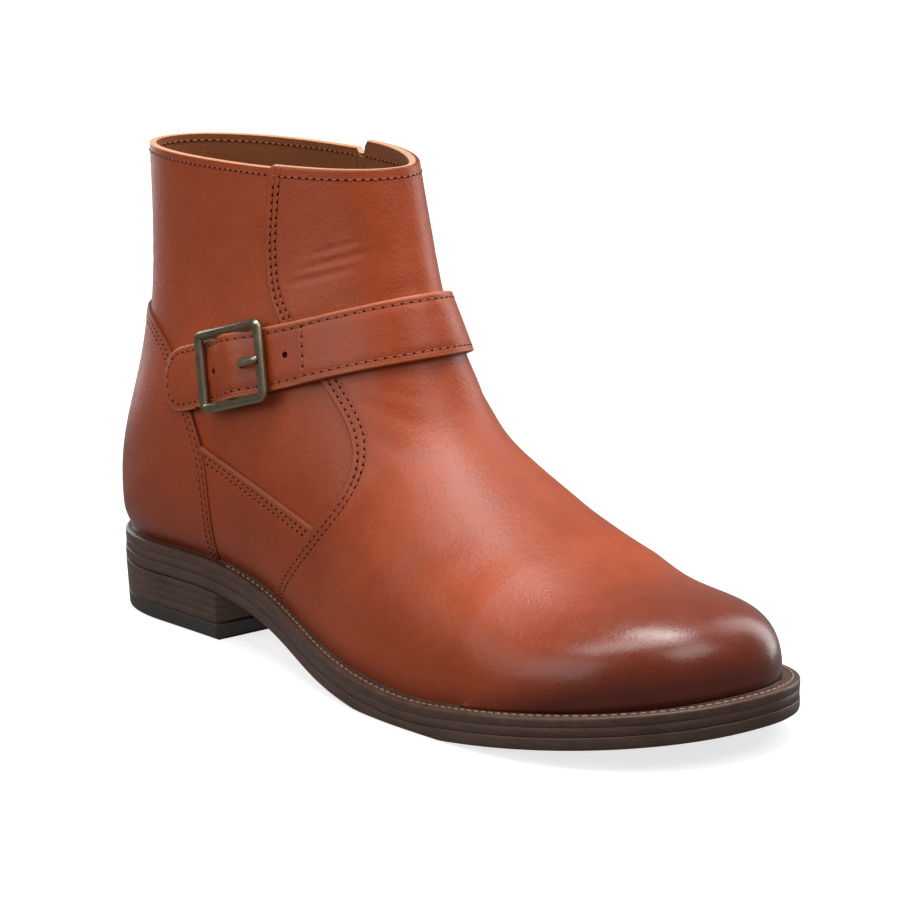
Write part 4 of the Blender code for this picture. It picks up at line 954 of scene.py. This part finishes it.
# Vamp: the front panel, one piece from the toe up to the collar, lasted over the toe.
# It is lapped over the rest and sewn with two rows along its rear edge. It stands a little above the
# collar, most beside the zip.
VAMP_ROWS, VAMP_SEWN_TO = (2.8, 5.0), 168.0
vamp_rows = np.concatenate([FORM_ROWS, COLLAR_ROW + np.linspace(0.04, 0.32, 8)])
vamp_data, vamp_triangles = form_grid(vamp_rows, PLACES)
vamp_left = ((COLLAR_ROW - vamp_rows)[:, None] * collar_rise + vamp_stand(PLACES)).ravel()
vamp_seam = ahead_of_vamp_edge(vamp_data[:, :3])
vamp_surface = add_panel("vamp_leather", vamp_data, vamp_triangles, np.minimum(vamp_seam, vamp_left),
                         ("vamp_panel",), vamp_seam, VAMP_ROWS)
sew("vamp_stitches", [drape(seam_row(VAMP_EDGE[side], row), side, vamp_surface, VAMP_SEWN_TO)
                      for side in (LATERAL, MEDIAL) for row in VAMP_ROWS], vamp_surface)

# Collar stitching: one row of tan thread just below the rim, sewn through outside and lining.
# It holds the two together and shows on both faces.
COLLAR_DROP = 2.4
quarter_surface = BVHTree.FromPolygons(quarter_points.tolist(), quarter_triangles.tolist())
lining_surface = BVHTree.FromPolygons(lining_points.tolist(), lining_triangles[:, ::-1].tolist())
drop_points, drop_out = form_line(COLLAR_ROW - COLLAR_DROP / collar_rise, PLACES)
on_vamp = ahead_of_vamp_edge(drop_points) > 0.6
back_left, back_right = (~on_vamp) & (PLACES < 0), PLACES > notch_back + 0.01
sew("collar_stitches_rear", [drop_points[back_left], drop_points[back_right]], quarter_surface)
sew("collar_stitches_front", [drop_points[on_vamp]], vamp_surface)
inner_drop = drop_points - drop_out * LINING_DEPTH
sew("collar_stitches_inside", [inner_drop[PLACES < notch_front], inner_drop[PLACES > notch_back]],
    lining_surface)

# Ankle strap: two layers of the same leather, folded and sewn along both edges.
# It runs from the medial side over the ankle, and its lateral end is sewn down over the single strap
# that runs on to the buckle.
STRAP_RISE, STRAP_AT = 0.30, 100.0
STRAP_LOW, STRAP_HIGH = 92.0, 115.0
STRAP_MIDDLE, STRAP_HALF = (STRAP_LOW + STRAP_HIGH) / 2, (STRAP_HIGH - STRAP_LOW) / 2
STRAP_LIFT, BAND, TIP = 1.7, 2.6, 1.6
SQUARE = STRAP_RISE / (1 + STRAP_RISE ** 2)
BAND_ENDS = {LATERAL: 122.0, MEDIAL: 66.0}
STRAP_SEAM, STRAP_STITCH = 2.4, 3.3
strap_rows, strap_places = np.linspace(2, COLLAR_ROW, 301), np.linspace(-0.98, 0.98, 393)
strap_points = np.array([last_points(row, strap_places) for row in strap_rows])
strap_outward = np.array([last_normals(row, strap_places) for row in strap_rows])
strap_levels = strap_points[:, :, 2] - STRAP_RISE * (strap_points[:, :, 0] - STRAP_AT)


def strap_surface(places, levels):
    """Points and outward directions of the form where each place crosses planes parallel to the strap."""
    places = np.broadcast_to(np.reshape(places, (len(levels), -1)), levels.shape)
    found = np.zeros(levels.shape + (6,))
    for j, i in np.ndindex(levels.shape):
        left = int(np.clip(np.searchsorted(strap_places, places[j, i]) - 1, 0, len(strap_places) - 2))
        share = (places[j, i] - strap_places[left]) / (strap_places[left + 1] - strap_places[left])
        level = strap_levels[:, left] * (1 - share) + strap_levels[:, left + 1] * share
        row = np.interp(levels[j, i], level, np.arange(len(strap_rows)))
        low = min(int(row), len(strap_rows) - 2)
        for k, grid in ((0, strap_points), (3, strap_outward)):
            pair = grid[low:low + 2, left] * (1 - share) + grid[low:low + 2, left + 1] * share
            found[j, i, k:k + 3] = pair[0] + (row - low) * (pair[1] - pair[0])
    return found[:, :, :3], unit(found[:, :, 3:])


strap_crossings = {}


def place_at(x, level, side):
    """The place on one side where a plane parallel to the strap passes x."""
    if (level, side) not in strap_crossings:
        columns = np.flatnonzero(strap_places * side > 0.05)
        crossing = np.array([np.interp(level, strap_levels[:, k], strap_points[:, k, 0]) for k in columns])
        order = np.argsort(crossing)
        strap_crossings[level, side] = crossing[order], strap_places[columns][order]
    return float(np.interp(x, *strap_crossings[level, side]))


def strap_section(thick, layers, crown=0.25):
    """A strap's outline across its width, as shares of the half width and heights.
    Its edges are rounded, and its seams lie in channels."""
    edge = [(1.0, 0.04)]
    for layer in range(layers):
        low, high = layer / layers, (layer + 1) / layers
        edge += [(1.0, low + 0.08), (1.0, high - 0.08 if layer < layers - 1 else 1 - 0.42 / thick)]
        if layer < layers - 1:
            edge += [(1 - 0.2 / STRAP_HALF, high)]
    edge += [(1 - 0.1 / STRAP_HALF, 1 - 0.16 / thick), (1 - 0.4 / STRAP_HALF, 1.0)]
    seam = 1 - STRAP_SEAM / STRAP_HALF
    width = CHANNEL_HALF / STRAP_HALF
    flat = [(1 - 1.3 / STRAP_HALF, 1.0), (seam + width, 1.0), (seam, 1 - CHANNEL_DEPTH / thick),
            (seam - width, 1.0), (0.5, 1.0), (0.25, 1.0)]
    half = [(share, height * thick + crown * (1 - share ** 2) * (height > 0.5))
            for share, height in edge + flat]
    return half + [(0.0, thick + crown)] + [(-share, height) for share, height in half[::-1]]


def strap_mesh(places, half, lift, profile, square):
    """A strap over the form: its outline carried along the places, closed underneath and at its ends.
    Where square says so, the outline stands square to the strap."""
    shares, heights = np.array(profile).T
    middle, _ = strap_surface(places, np.full((len(places), 1), STRAP_MIDDLE))
    spots = np.repeat(places[:, None], len(shares), 1)
    for side, weights in square:
        for j in np.flatnonzero(weights > 0):
            for i, reach in enumerate(half[j] * shares):
                spot = place_at(middle[j, 0, 0] - SQUARE * reach, STRAP_MIDDLE + reach, side)
                spots[j, i] += weights[j] * (spot - spots[j, i])
    points, outward = strap_surface(spots, STRAP_MIDDLE + half[:, None] * shares)
    raised = np.array([lift(point) for point in middle[:, 0]])
    run = run_length(middle[:, 0])
    to_end = np.minimum(run, run[-1] - run)
    rounded = 1 - 0.35 * np.clip(1 - to_end / 0.5, 0, 1) ** 2
    sheet = points + outward * (raised[:, None, None] + heights[None, :, None] * rounded[:, None, None])
    wide = len(shares)
    faces = sheet_faces(len(places), wide)
    last = (len(places) - 1) * wide
    for i in range(wide // 2):
        quad = list(dict.fromkeys((i, wide - 1 - i, wide - 2 - i, i + 1)))
        if len(quad) > 2:
            faces += [quad, [last + corner for corner in quad[::-1]]]
    return sheet, faces


def add_strap(name, places, half, lift, profile, stands_for, square):
    """A strap as a piece, paler on its folded edges and ends, partly with a painted highlight, and with
    painted shade in its seam channels. Gives its rows of points and its surface.
    """
    sheet, faces = strap_mesh(places, half, lift, profile, square)
    points = sheet.reshape(-1, 3)
    seam = 1 - STRAP_SEAM / STRAP_HALF
    shares, heights = np.abs(np.array(profile)).T
    # Painted shade in the seam channels.
    wear_and_painted_light = np.where(np.abs(shares - seam) < 0.01, 0.35, 0.0)
    on_fold = (shares > 1 - 0.5 / STRAP_HALF) & (heights > 0.75 * heights.max())
    # Paler folded edges and ends: partly the leather's own, partly a painted highlight.
    fold_and_highlight = np.tile(on_fold.astype(float), (len(places), 1))
    fold_and_highlight[:3] = np.maximum(fold_and_highlight[:3], 0.8)
    strap = add_piece(name, points, faces, tan_leather, slot="tan_leather", stands_for=stands_for,
                      masks={"burnish_and_shade": 0.06 + 0 * points[:, 0], "edge": np.tile(wear_and_painted_light, len(places)),
                             "fold_and_highlight": fold_and_highlight.ravel()})
    strap.data.set_sharp_from_angle(angle=math.radians(50))
    return sheet, BVHTree.FromPolygons(points.tolist(), faces)


def strap_row(sheet, profile, share):
    """The line along a strap's top at a share of its half width."""
    top = [i for i, (_, height) in enumerate(profile) if height > 0.7 * max(h for _, h in profile)]
    shares = np.array([profile[i][0] for i in top])
    order = np.argsort(shares)
    across = np.array(top)[order]
    return np.array([[np.interp(share, shares[order], line[across, i]) for i in range(3)] for line in sheet])


band_start = place_at(BAND_ENDS[LATERAL], STRAP_MIDDLE, LATERAL)
band_stop = place_at(BAND_ENDS[MEDIAL], STRAP_MIDDLE, MEDIAL)
band_ends = np.array([0, 0.0008, 0.0018, 0.0032])
band_places = np.concatenate([band_start + band_ends, np.linspace(band_start, band_stop, 181)[1:-1],
                              band_stop - band_ends[::-1]])
band_profile = strap_section(BAND, 2)
band_square = [(LATERAL, 1 - smooth_step(band_places - band_start, 0.02, 0.2)),
               (MEDIAL, 1 - smooth_step(band_stop - band_places, 0.02, 0.2))]
band_sheet, band_surface = add_strap("strap_band", band_places, np.full(len(band_places), STRAP_HALF),
                                     lambda point: STRAP_LIFT, band_profile, ("ankle_strap",), band_square)
seam_share = 1 - STRAP_SEAM / STRAP_HALF
band_seams = [strap_row(band_sheet, band_profile, share) for share in (-seam_share, seam_share)]
band_run = run_length(band_seams[0])
CROSSING_LATERAL, CROSSING_MEDIAL = 2.8, 2.4
crossings = []
for inset in (CROSSING_LATERAL, band_run[-1] - CROSSING_MEDIAL):
    at = int(np.argmin(np.abs(band_run - inset)))
    crossings.append(np.array([strap_row(band_sheet[at:at + 1], band_profile, share)[0]
                               for share in np.linspace(-seam_share, seam_share, 14)]))
sew("band_stitches", band_seams + crossings, band_surface, STRAP_STITCH)

# Strap tip: the single strap that comes out from under the band, of the same leather.
# It passes over the buckle's centre bar to a round end. One row of stitches follows its edges, and two
# punched holes show beside the one that the prong fills.
TIP_END, TIP_ROUND = 57.0, 11.0
STRAP_HUMP, HUMP_REACH = 3.1, 13.0
BUCKLE_X, BUCKLE_Z = 95.5, 102.2
BUCKLE_ALONG, BUCKLE_ACROSS = 33.0, 29.0


def side_point(x, z, side):
    """The point and outward direction of the form that one side view shows at x and z."""
    level = z - STRAP_RISE * (x - STRAP_AT)
    points, outward = strap_surface(np.array([place_at(x, level, side)]), np.array([[level]]))
    return points[0, 0], outward[0, 0]


incline = math.atan(STRAP_RISE)
rests = {}
for along in (-1, 1):
    for across in (-1, 1):
        run, climb = along * BUCKLE_ALONG * 0.4, across * STRAP_HALF * 0.9
        x = BUCKLE_X + run * math.cos(incline) - climb * math.sin(incline)
        z = BUCKLE_Z + run * math.sin(incline) + climb * math.cos(incline)
        rests[along, across] = side_point(x, z, LATERAL)[0]
along_strap = unit(sum(along * point for (along, _), point in rests.items()))
off_strap = unit(np.cross(along_strap, sum(across * point for (_, across), point in rests.items())))
across_strap = np.cross(off_strap, along_strap)
buckle_at = side_point(BUCKLE_X, BUCKLE_Z, LATERAL)[0]


def tip_lift(point):
    """The tip rises over the buckle's centre bar."""
    reach = min(abs(float((point - buckle_at) @ along_strap)) / HUMP_REACH, 1)
    return STRAP_LIFT + STRAP_HUMP * math.cos(math.pi / 2 * reach) ** 2


tip_xs = np.concatenate([TIP_END + TIP_ROUND * (1 - np.cos(np.linspace(0, math.pi / 2, 26))),
                         np.linspace(TIP_END + TIP_ROUND, BAND_ENDS[LATERAL] + 4, 90)[1:]])
tip_places = np.array([place_at(x, STRAP_MIDDLE, LATERAL) for x in tip_xs])
tip_short = np.clip((TIP_END + TIP_ROUND - tip_xs) / (TIP_ROUND + 0.25), 0, 1)
tip_half = STRAP_HALF * np.sqrt(1 - tip_short ** 2.4)
tip_profile = strap_section(TIP, 1, 0.2)
tip_sheet, tip_surface = add_strap("strap_tip_leather", tip_places, tip_half, tip_lift, tip_profile,
                                   ("strap_tip",), [(LATERAL, np.ones(len(tip_places)))])
seam_short = np.clip((TIP_END + TIP_ROUND - tip_xs) / (TIP_ROUND - STRAP_SEAM + 0.1), 0, 1)
seam_half = (STRAP_HALF - STRAP_SEAM) * np.sqrt(1 - seam_short ** 2.4)
tip_line = {}
for side in (-1, 1):
    seam_shares = side * seam_half / tip_half
    tip_line[side] = np.array([strap_row(tip_sheet[j:j + 1], tip_profile, seam_shares[j])[0]
                               for j in np.flatnonzero(seam_short < 1)])
sew("tip_stitches", [np.vstack([tip_line[-1][::-1], tip_line[1]])], tip_surface, STRAP_STITCH)

# Each punched hole is a dark dish on the strap: painted shade for its depth.
PUNCHED = ((117.0, 1.15), (86.6, 0.95))
DISH, DISH_SIDES = ((1.0, -0.05), (0.95, 0.06), (0.7, 0.03)), 20
dishes, dish_faces = [], []
for x, radius in PUNCHED:
    spot, outward = side_point(x, STRAP_MIDDLE + STRAP_RISE * (x - STRAP_AT), LATERAL)
    hit, normal, _, _ = tip_surface.ray_cast(Vector(spot + outward * 30), Vector(-outward))
    normal = np.array(normal)
    side_way = unit(np.cross(normal, up))
    up_way = np.cross(side_way, normal)
    base, bottom = len(dishes), (len(DISH) - 1) * DISH_SIDES
    for share, rise in DISH:
        for i in range(DISH_SIDES):
            angle = 2 * math.pi * i / DISH_SIDES
            around = math.cos(angle) * side_way + math.sin(angle) * up_way
            dishes.append(np.array(hit) + normal * rise + radius * share * around)
    one_dish = sheet_faces(len(DISH), DISH_SIDES) + [range(bottom, bottom + DISH_SIDES)]
    dish_faces += [[base + corner for corner in face] for face in one_dish]
add_piece("punched_hole_shade", dishes, dish_faces, painted_hole_shade, slot="tan_leather")

# Buckle: a cast rectangular frame with rounded corners and a bevelled face, aged dark in its corners.
# Its bevels and outer sides are lighter: rubbed wear with a painted highlight.
# The strap passes under its ends and over its centre bar.
BAR_HALF, BUCKLE_LOW, BUCKLE_HIGH, CORNER_ROUND = 1.7, 3.7, 6.4, 3.4
BAR_SECTION = ((-1.0, 0.12), (-0.82, 0.0), (0.82, 0.0), (1.0, 0.12), (1.0, 0.55), (0.93, 0.66),
               (0.42, 1.0), (-0.42, 1.0), (-0.93, 0.66), (-1.0, 0.55))
# Lighter on the bevels and outer sides: rubbed wear and a painted highlight.
BAR_RUBBED_AND_HIGHLIT = (0.3, 0.0, 0.0, 0.3, 1.0, 1.0, 0.1, 0.1, 1.0, 1.0)
BRASS_DARK, BRASS_LIGHT, BRASS_RUBBED_AND_HIGHLIT = (0.105, 0.092, 0.058), (0.215, 0.192, 0.128), (0.46, 0.42, 0.30)
aged_brass = Finish("aged_brass", metallic=1.0)
patina = aged_brass.noise(aged_brass.place(), 420.0, 5.0, 0.6)
brushed = aged_brass.noise(aged_brass.place((1.0, 1.0, 6.0)), 900.0, 2.0)
rubbed_and_highlit = aged_brass.mask("wear_and_painted_light")
brass_colour = aged_brass.mix((patina * 1.1 - 0.1).clamp(), BRASS_DARK, BRASS_LIGHT)
aged_brass.set(base_color=aged_brass.mix((rubbed_and_highlit * 0.75).clamp(), brass_colour, BRASS_RUBBED_AND_HIGHLIT),
               roughness=(0.2 + 0.2 * patina).clamp(), normal=aged_brass.bump(brushed, 0.0001, 0.3))


def in_buckle(along, across, height):
    """A point of the buckle's own space in the space of the form."""
    return buckle_at + along_strap * along + across_strap * across + off_strap * height


def round_corners(along, across, radius, steps=8):
    """A rectangle with rounded corners as points and outward directions, in the buckle's plane."""
    points, outward = [], []
    for quarter, (a, b) in enumerate(((1, 1), (-1, 1), (-1, -1), (1, -1))):
        for i in range(steps + 1):
            angle = math.pi / 2 * (quarter + i / steps)
            out = np.array([math.cos(angle), math.sin(angle)])
            points.append(np.array([a * (along / 2 - radius), b * (across / 2 - radius)]) + radius * out)
            outward.append(out)
    return points, outward


bar_path, bar_out = round_corners(BUCKLE_ALONG - 2 * BAR_HALF, BUCKLE_ACROSS - 2 * BAR_HALF,
                                  CORNER_ROUND - BAR_HALF)
bar_points = [in_buckle(*(spot + out * share * BAR_HALF), BUCKLE_LOW + rise * (BUCKLE_HIGH - BUCKLE_LOW))
              for spot, out in zip(bar_path, bar_out) for share, rise in BAR_SECTION]
bar_faces = [[corner % len(bar_points) for corner in face]
             for face in sheet_faces(len(bar_path) + 1, len(BAR_SECTION))]


def tube(path, radii, flat=1.0, sides=14):
    """A round bar along a path in the buckle's space of along, across and height."""
    path = np.asarray(path, float)
    points = []
    for spot, ahead, radius in zip(path, unit(np.gradient(path, axis=0)), radii):
        side_way = unit(np.cross(ahead, (0, 0, 1) if abs(ahead[2]) < 0.95 else (0, 1, 0)))
        up_way = np.cross(side_way, ahead)
        for i in range(sides):
            angle = 2 * math.pi * i / sides
            around = math.cos(angle) * side_way + flat * math.sin(angle) * up_way
            points.append(in_buckle(*(spot + radius * around)))
    return points, rod_faces(len(path), sides)


CENTRE_HEIGHT, CENTRE_REACH, CENTRE_ROUND, CENTRE_COUNT = 2.95, 13.4, 0.95, 9
centre_line = [(0, y, CENTRE_HEIGHT) for y in np.linspace(-CENTRE_REACH, CENTRE_REACH, CENTRE_COUNT)]
centre_points, centre_faces = tube(centre_line, [CENTRE_ROUND] * CENTRE_COUNT)
frame_points = bar_points + centre_points
frame_faces = bar_faces + [[len(bar_points) + corner for corner in face] for face in centre_faces]
wear_and_painted_light = np.concatenate([np.tile(BAR_RUBBED_AND_HIGHLIT, len(bar_path)), np.zeros(len(centre_points))])
buckle = add_piece("buckle", frame_points, frame_faces, aged_brass, slot="aged_brass",
                   stands_for=("buckle_frame",), masks={"wear_and_painted_light": wear_and_painted_light})
buckle.data.set_sharp_from_angle(angle=math.radians(24))

# Prong: a tapered pin of worn steel that swings on the centre bar.
# It comes up through a punched hole of the strap and lies on the front bar.
PRONG_PATH = ((1.2, 1.9), (2.4, 2.9), (4.5, 3.9), (6.2, 6.1), (9.0, 7.2), (12.6, 7.35), (15.6, 7.15))
PRONG_STEPS, PRONG_FLAT = 6, 0.72
prong_flat = smooth_edge(PRONG_PATH, PRONG_STEPS)
prong_line = np.column_stack([prong_flat[:, 0], 0 * prong_flat[:, 0], prong_flat[:, 1]])
prong_radii = np.interp(np.linspace(0, len(PRONG_PATH) - 1, len(prong_line)), (0, 4, 5.6, 6),
                        (1.55, 1.55, 1.45, 1.0))
bright_steel = speckled("worn_steel", (260.0, 3.0), (0.21, 0.175, 0.125), (0.43, 0.37, 0.28),
                        relief=None, rough=(0.22, 0.2), metallic=1.0)
add_piece("prong", *tube(prong_line, prong_radii, PRONG_FLAT), bright_steel, slot="aged_brass",
          stands_for=("buckle_prong",))

# Zip: a short dark tape with metal teeth behind the vamp's medial edge, from the collar down to the strap.
# It shows outside as a narrow strip and inside as a slit in the lining, and one row of stitches holds it.
ZIP_X, ZIP_WIDTH, ZIP_THICK, ZIP_TOP, ZIP_BOTTOM = 85.8, 5.4, 1.1, 169.5, 121.5
ZIP_PROFILE = ((-1.0, 0.0), (-1.0, 0.6), (-0.9, 0.8), (-0.35, 0.75), (-0.3, 0.5), (0.3, 0.5),
               (0.35, 0.75), (0.9, 0.8), (1.0, 0.6), (1.0, 0.0))
ZIP_SLIT, ZIP_LIFT = ((-0.75, 0.12), (-0.7, -0.15), (0.7, -0.15), (0.75, 0.12)), 0.25
zip_heights = np.linspace(ZIP_BOTTOM, ZIP_TOP, 25)
tape_points, slit_points, tooth_lines = [], [], []
for z in zip_heights:
    (front, front_out), (back, back_out) = (side_point(ZIP_X + end * ZIP_WIDTH / 2, z, MEDIAL)
                                            for end in (1, -1))
    middle, across, off = (front + back) / 2, (front - back) / 2, (front_out + back_out) / 2
    tape_points += [middle + across * share + off * (ZIP_LIFT + rise * ZIP_THICK)
                    for share, rise in ZIP_PROFILE]
    slit_points += [middle + across * share - off * (LINING_DEPTH + rise) for share, rise in ZIP_SLIT]
    tooth_lines.append((middle, off, unit(across)))
woven = Finish("zip_tape", roughness=0.8)
weave = woven.node("TexWave", {"wave_type": "BANDS", "bands_direction": "DIAGONAL"},
                   {"Vector": woven.place(), "Scale": 420.0, "Distortion": 1.0, "Detail": 1.0})
woven.set(base_color=woven.mix(weave, (0.012, 0.008, 0.006), (0.040, 0.026, 0.020)),
          normal=woven.bump(weave, 0.0003, 0.6))
add_piece("zip_tape_woven", tape_points, sheet_faces(len(zip_heights), len(ZIP_PROFILE), looped=False), woven,
          slot="zip_tape", stands_for=("zip_tape",))
add_piece("zip_slit_inside", slit_points, sheet_faces(len(zip_heights), len(ZIP_SLIT), looped=False), woven,
          slot="zip_tape")
TOOTH, TOOTH_LONG, TOOTH_THICK, TOOTH_RISE, TOOTH_ASIDE = 1.5, 1.9, 0.5, 0.62, 0.45
middle_line = np.array([middle for middle, _, _ in tooth_lines])
tooth_spots, _ = evenly(middle_line, TOOTH / 2)
teeth = []
for i, spot in enumerate(tooth_spots):
    _, off, side_way = tooth_lines[int(np.argmin(np.linalg.norm(middle_line - spot, axis=1)))]
    aside = TOOTH_ASIDE if i % 2 else -TOOTH_ASIDE
    teeth.append((spot + off * (ZIP_LIFT + TOOTH_RISE * ZIP_THICK) + side_way * aside, side_way, off))
add_piece("zip_teeth", *thread_bits(teeth, TOOTH_LONG, TOOTH_THICK, 6, 0.8), aged_brass, slot="aged_brass")

ZIP_SEAM, ZIP_SEAM_LOW, ZIP_SEAM_END = 5.4, 117.6, 103.0
zip_seam = [side_point(ZIP_X - ZIP_SEAM, z, MEDIAL)[0]
            for z in np.linspace(ZIP_TOP - 3.0, ZIP_SEAM_LOW, 40)]
zip_seam += [side_point(x, ZIP_SEAM_LOW, MEDIAL)[0]
             for x in np.linspace(ZIP_X - ZIP_SEAM, ZIP_SEAM_END, 20)[1:]]
sew("zip_stitches", [np.array(zip_seam)], quarter_surface)

# Zip slider and pull tab: small cast brass pieces, kept as the solids are.
# The pull hangs from the slider's pin and swings on it.
for name in ("zip_slider", "zip_pull"):
    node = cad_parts[name]
    node.data.materials.clear()
    node.data.materials.append(aged_brass.material)

# Floor, light and camera: a pale studio floor that glows, a painted light that lightens away from the boot,
# and soft lights.
# The camera looks at the boot's lateral front, as in the photograph.
FLOOR_NEAR, FLOOR_FADE = 0.35, 0.9
floor_mesh = bpy.data.meshes.new("studio_floor")
floor_mesh.from_pydata([(-6, -6, 0), (6, -6, 0), (6, 6, 0), (-6, 6, 0)], [], [(0, 1, 2, 3)])
floor = bpy.data.objects.new("studio_floor", floor_mesh)
bpy.context.scene.collection.objects.link(floor)
# The floor glows: painted light, dimmer beside the boot and brighter away from it.
floor_glow = Finish("glowing_floor", base_color=(0.42, 0.42, 0.42), roughness=0.9, specular_ior_level=0.1,
              emission_strength=1.0)
distance = floor_glow.node("VectorMath", {"operation": "LENGTH"}, {0: floor_glow.place()}, 1)
faded = ((distance - FLOOR_NEAR) * (1 / FLOOR_FADE)).clamp()
floor_glow.set(emission_color=floor_glow.mix(faded, (0.74, 0.74, 0.74), (0.97, 0.97, 0.97)))
floor_mesh.materials.append(floor_glow.material)
floor.visible_diffuse = floor.visible_glossy = False

world = bpy.data.worlds.new("studio")
world.use_nodes = True
world.node_tree.nodes["Background"].inputs["Color"].default_value = (1.0, 1.0, 1.0, 1.0)
world.node_tree.nodes["Background"].inputs["Strength"].default_value = 0.26
bpy.context.scene.world = world
bpy.context.scene.view_settings.view_transform = "Standard"
# Each light has a name, a place, what it points at, a width and depth in metres, and a power in watts.
LIGHTS = (
    ("overhead", (0.12, -0.05, 1.25), (0.03, 0.0, 0.05), (1.3, 0.5), 12.0),
    ("vamp_strip", (-0.02, 0.33, 1.22), (0.04, 0.0, 0.07), (0.55, 0.3), 7.0),
    ("right_strip", (0.1, 1.15, 0.5), (-0.05, 0.0, 0.11), (0.5, 1.2), 6.0),
    ("front_right", (1.05, 0.3, 1.2), (0.0, 0.0, 0.06), (0.8, 0.6), 7.0),
    ("left_fill", (-0.2, -1.4, 0.9), (0.0, 0.0, 0.08), (1.6, 1.2), 12.5),
    ("back_strip", (-1.3, 0.35, 0.35), (-0.1, 0.0, 0.08), (0.5, 0.8), 4.5),
)
for name, spot, aim, size, power in LIGHTS:
    lamp = bpy.data.lights.new(name, "AREA")
    lamp.shape = "RECTANGLE"
    lamp.size, lamp.size_y = size
    lamp.energy = power
    holder = bpy.data.objects.new(name, lamp)
    holder.location = spot
    holder.rotation_euler = (Vector(aim) - Vector(spot)).to_track_quat("-Z", "Y").to_euler()
    bpy.context.scene.collection.objects.link(holder)

VIEW_TURN, VIEW_RISE, VIEW_DISTANCE = math.radians(48), math.radians(12), 1300.0
LENS = 151.872
VIEW_AIM = np.array([150.0, 0.0, 85.0])
FRAME_AIM = np.array([162.0, 0.0, 78.0])
away = np.array([math.sin(VIEW_TURN) * math.cos(VIEW_RISE), -math.cos(VIEW_TURN) * math.cos(VIEW_RISE),
                 math.sin(VIEW_RISE)])
eye = Vector((VIEW_AIM + VIEW_DISTANCE * away + TO_FRAME) * MM)
target = Vector((FRAME_AIM + TO_FRAME) * MM)
camera_data = bpy.data.cameras.new("camera")
camera_data.lens = LENS
camera_data.sensor_width = 36.0
camera = bpy.data.objects.new("camera", camera_data)
camera.location = eye
camera.rotation_euler = (target - eye).to_track_quat("-Z", "Y").to_euler()
bpy.context.scene.collection.objects.link(camera)
bpy.context.scene.camera = camera
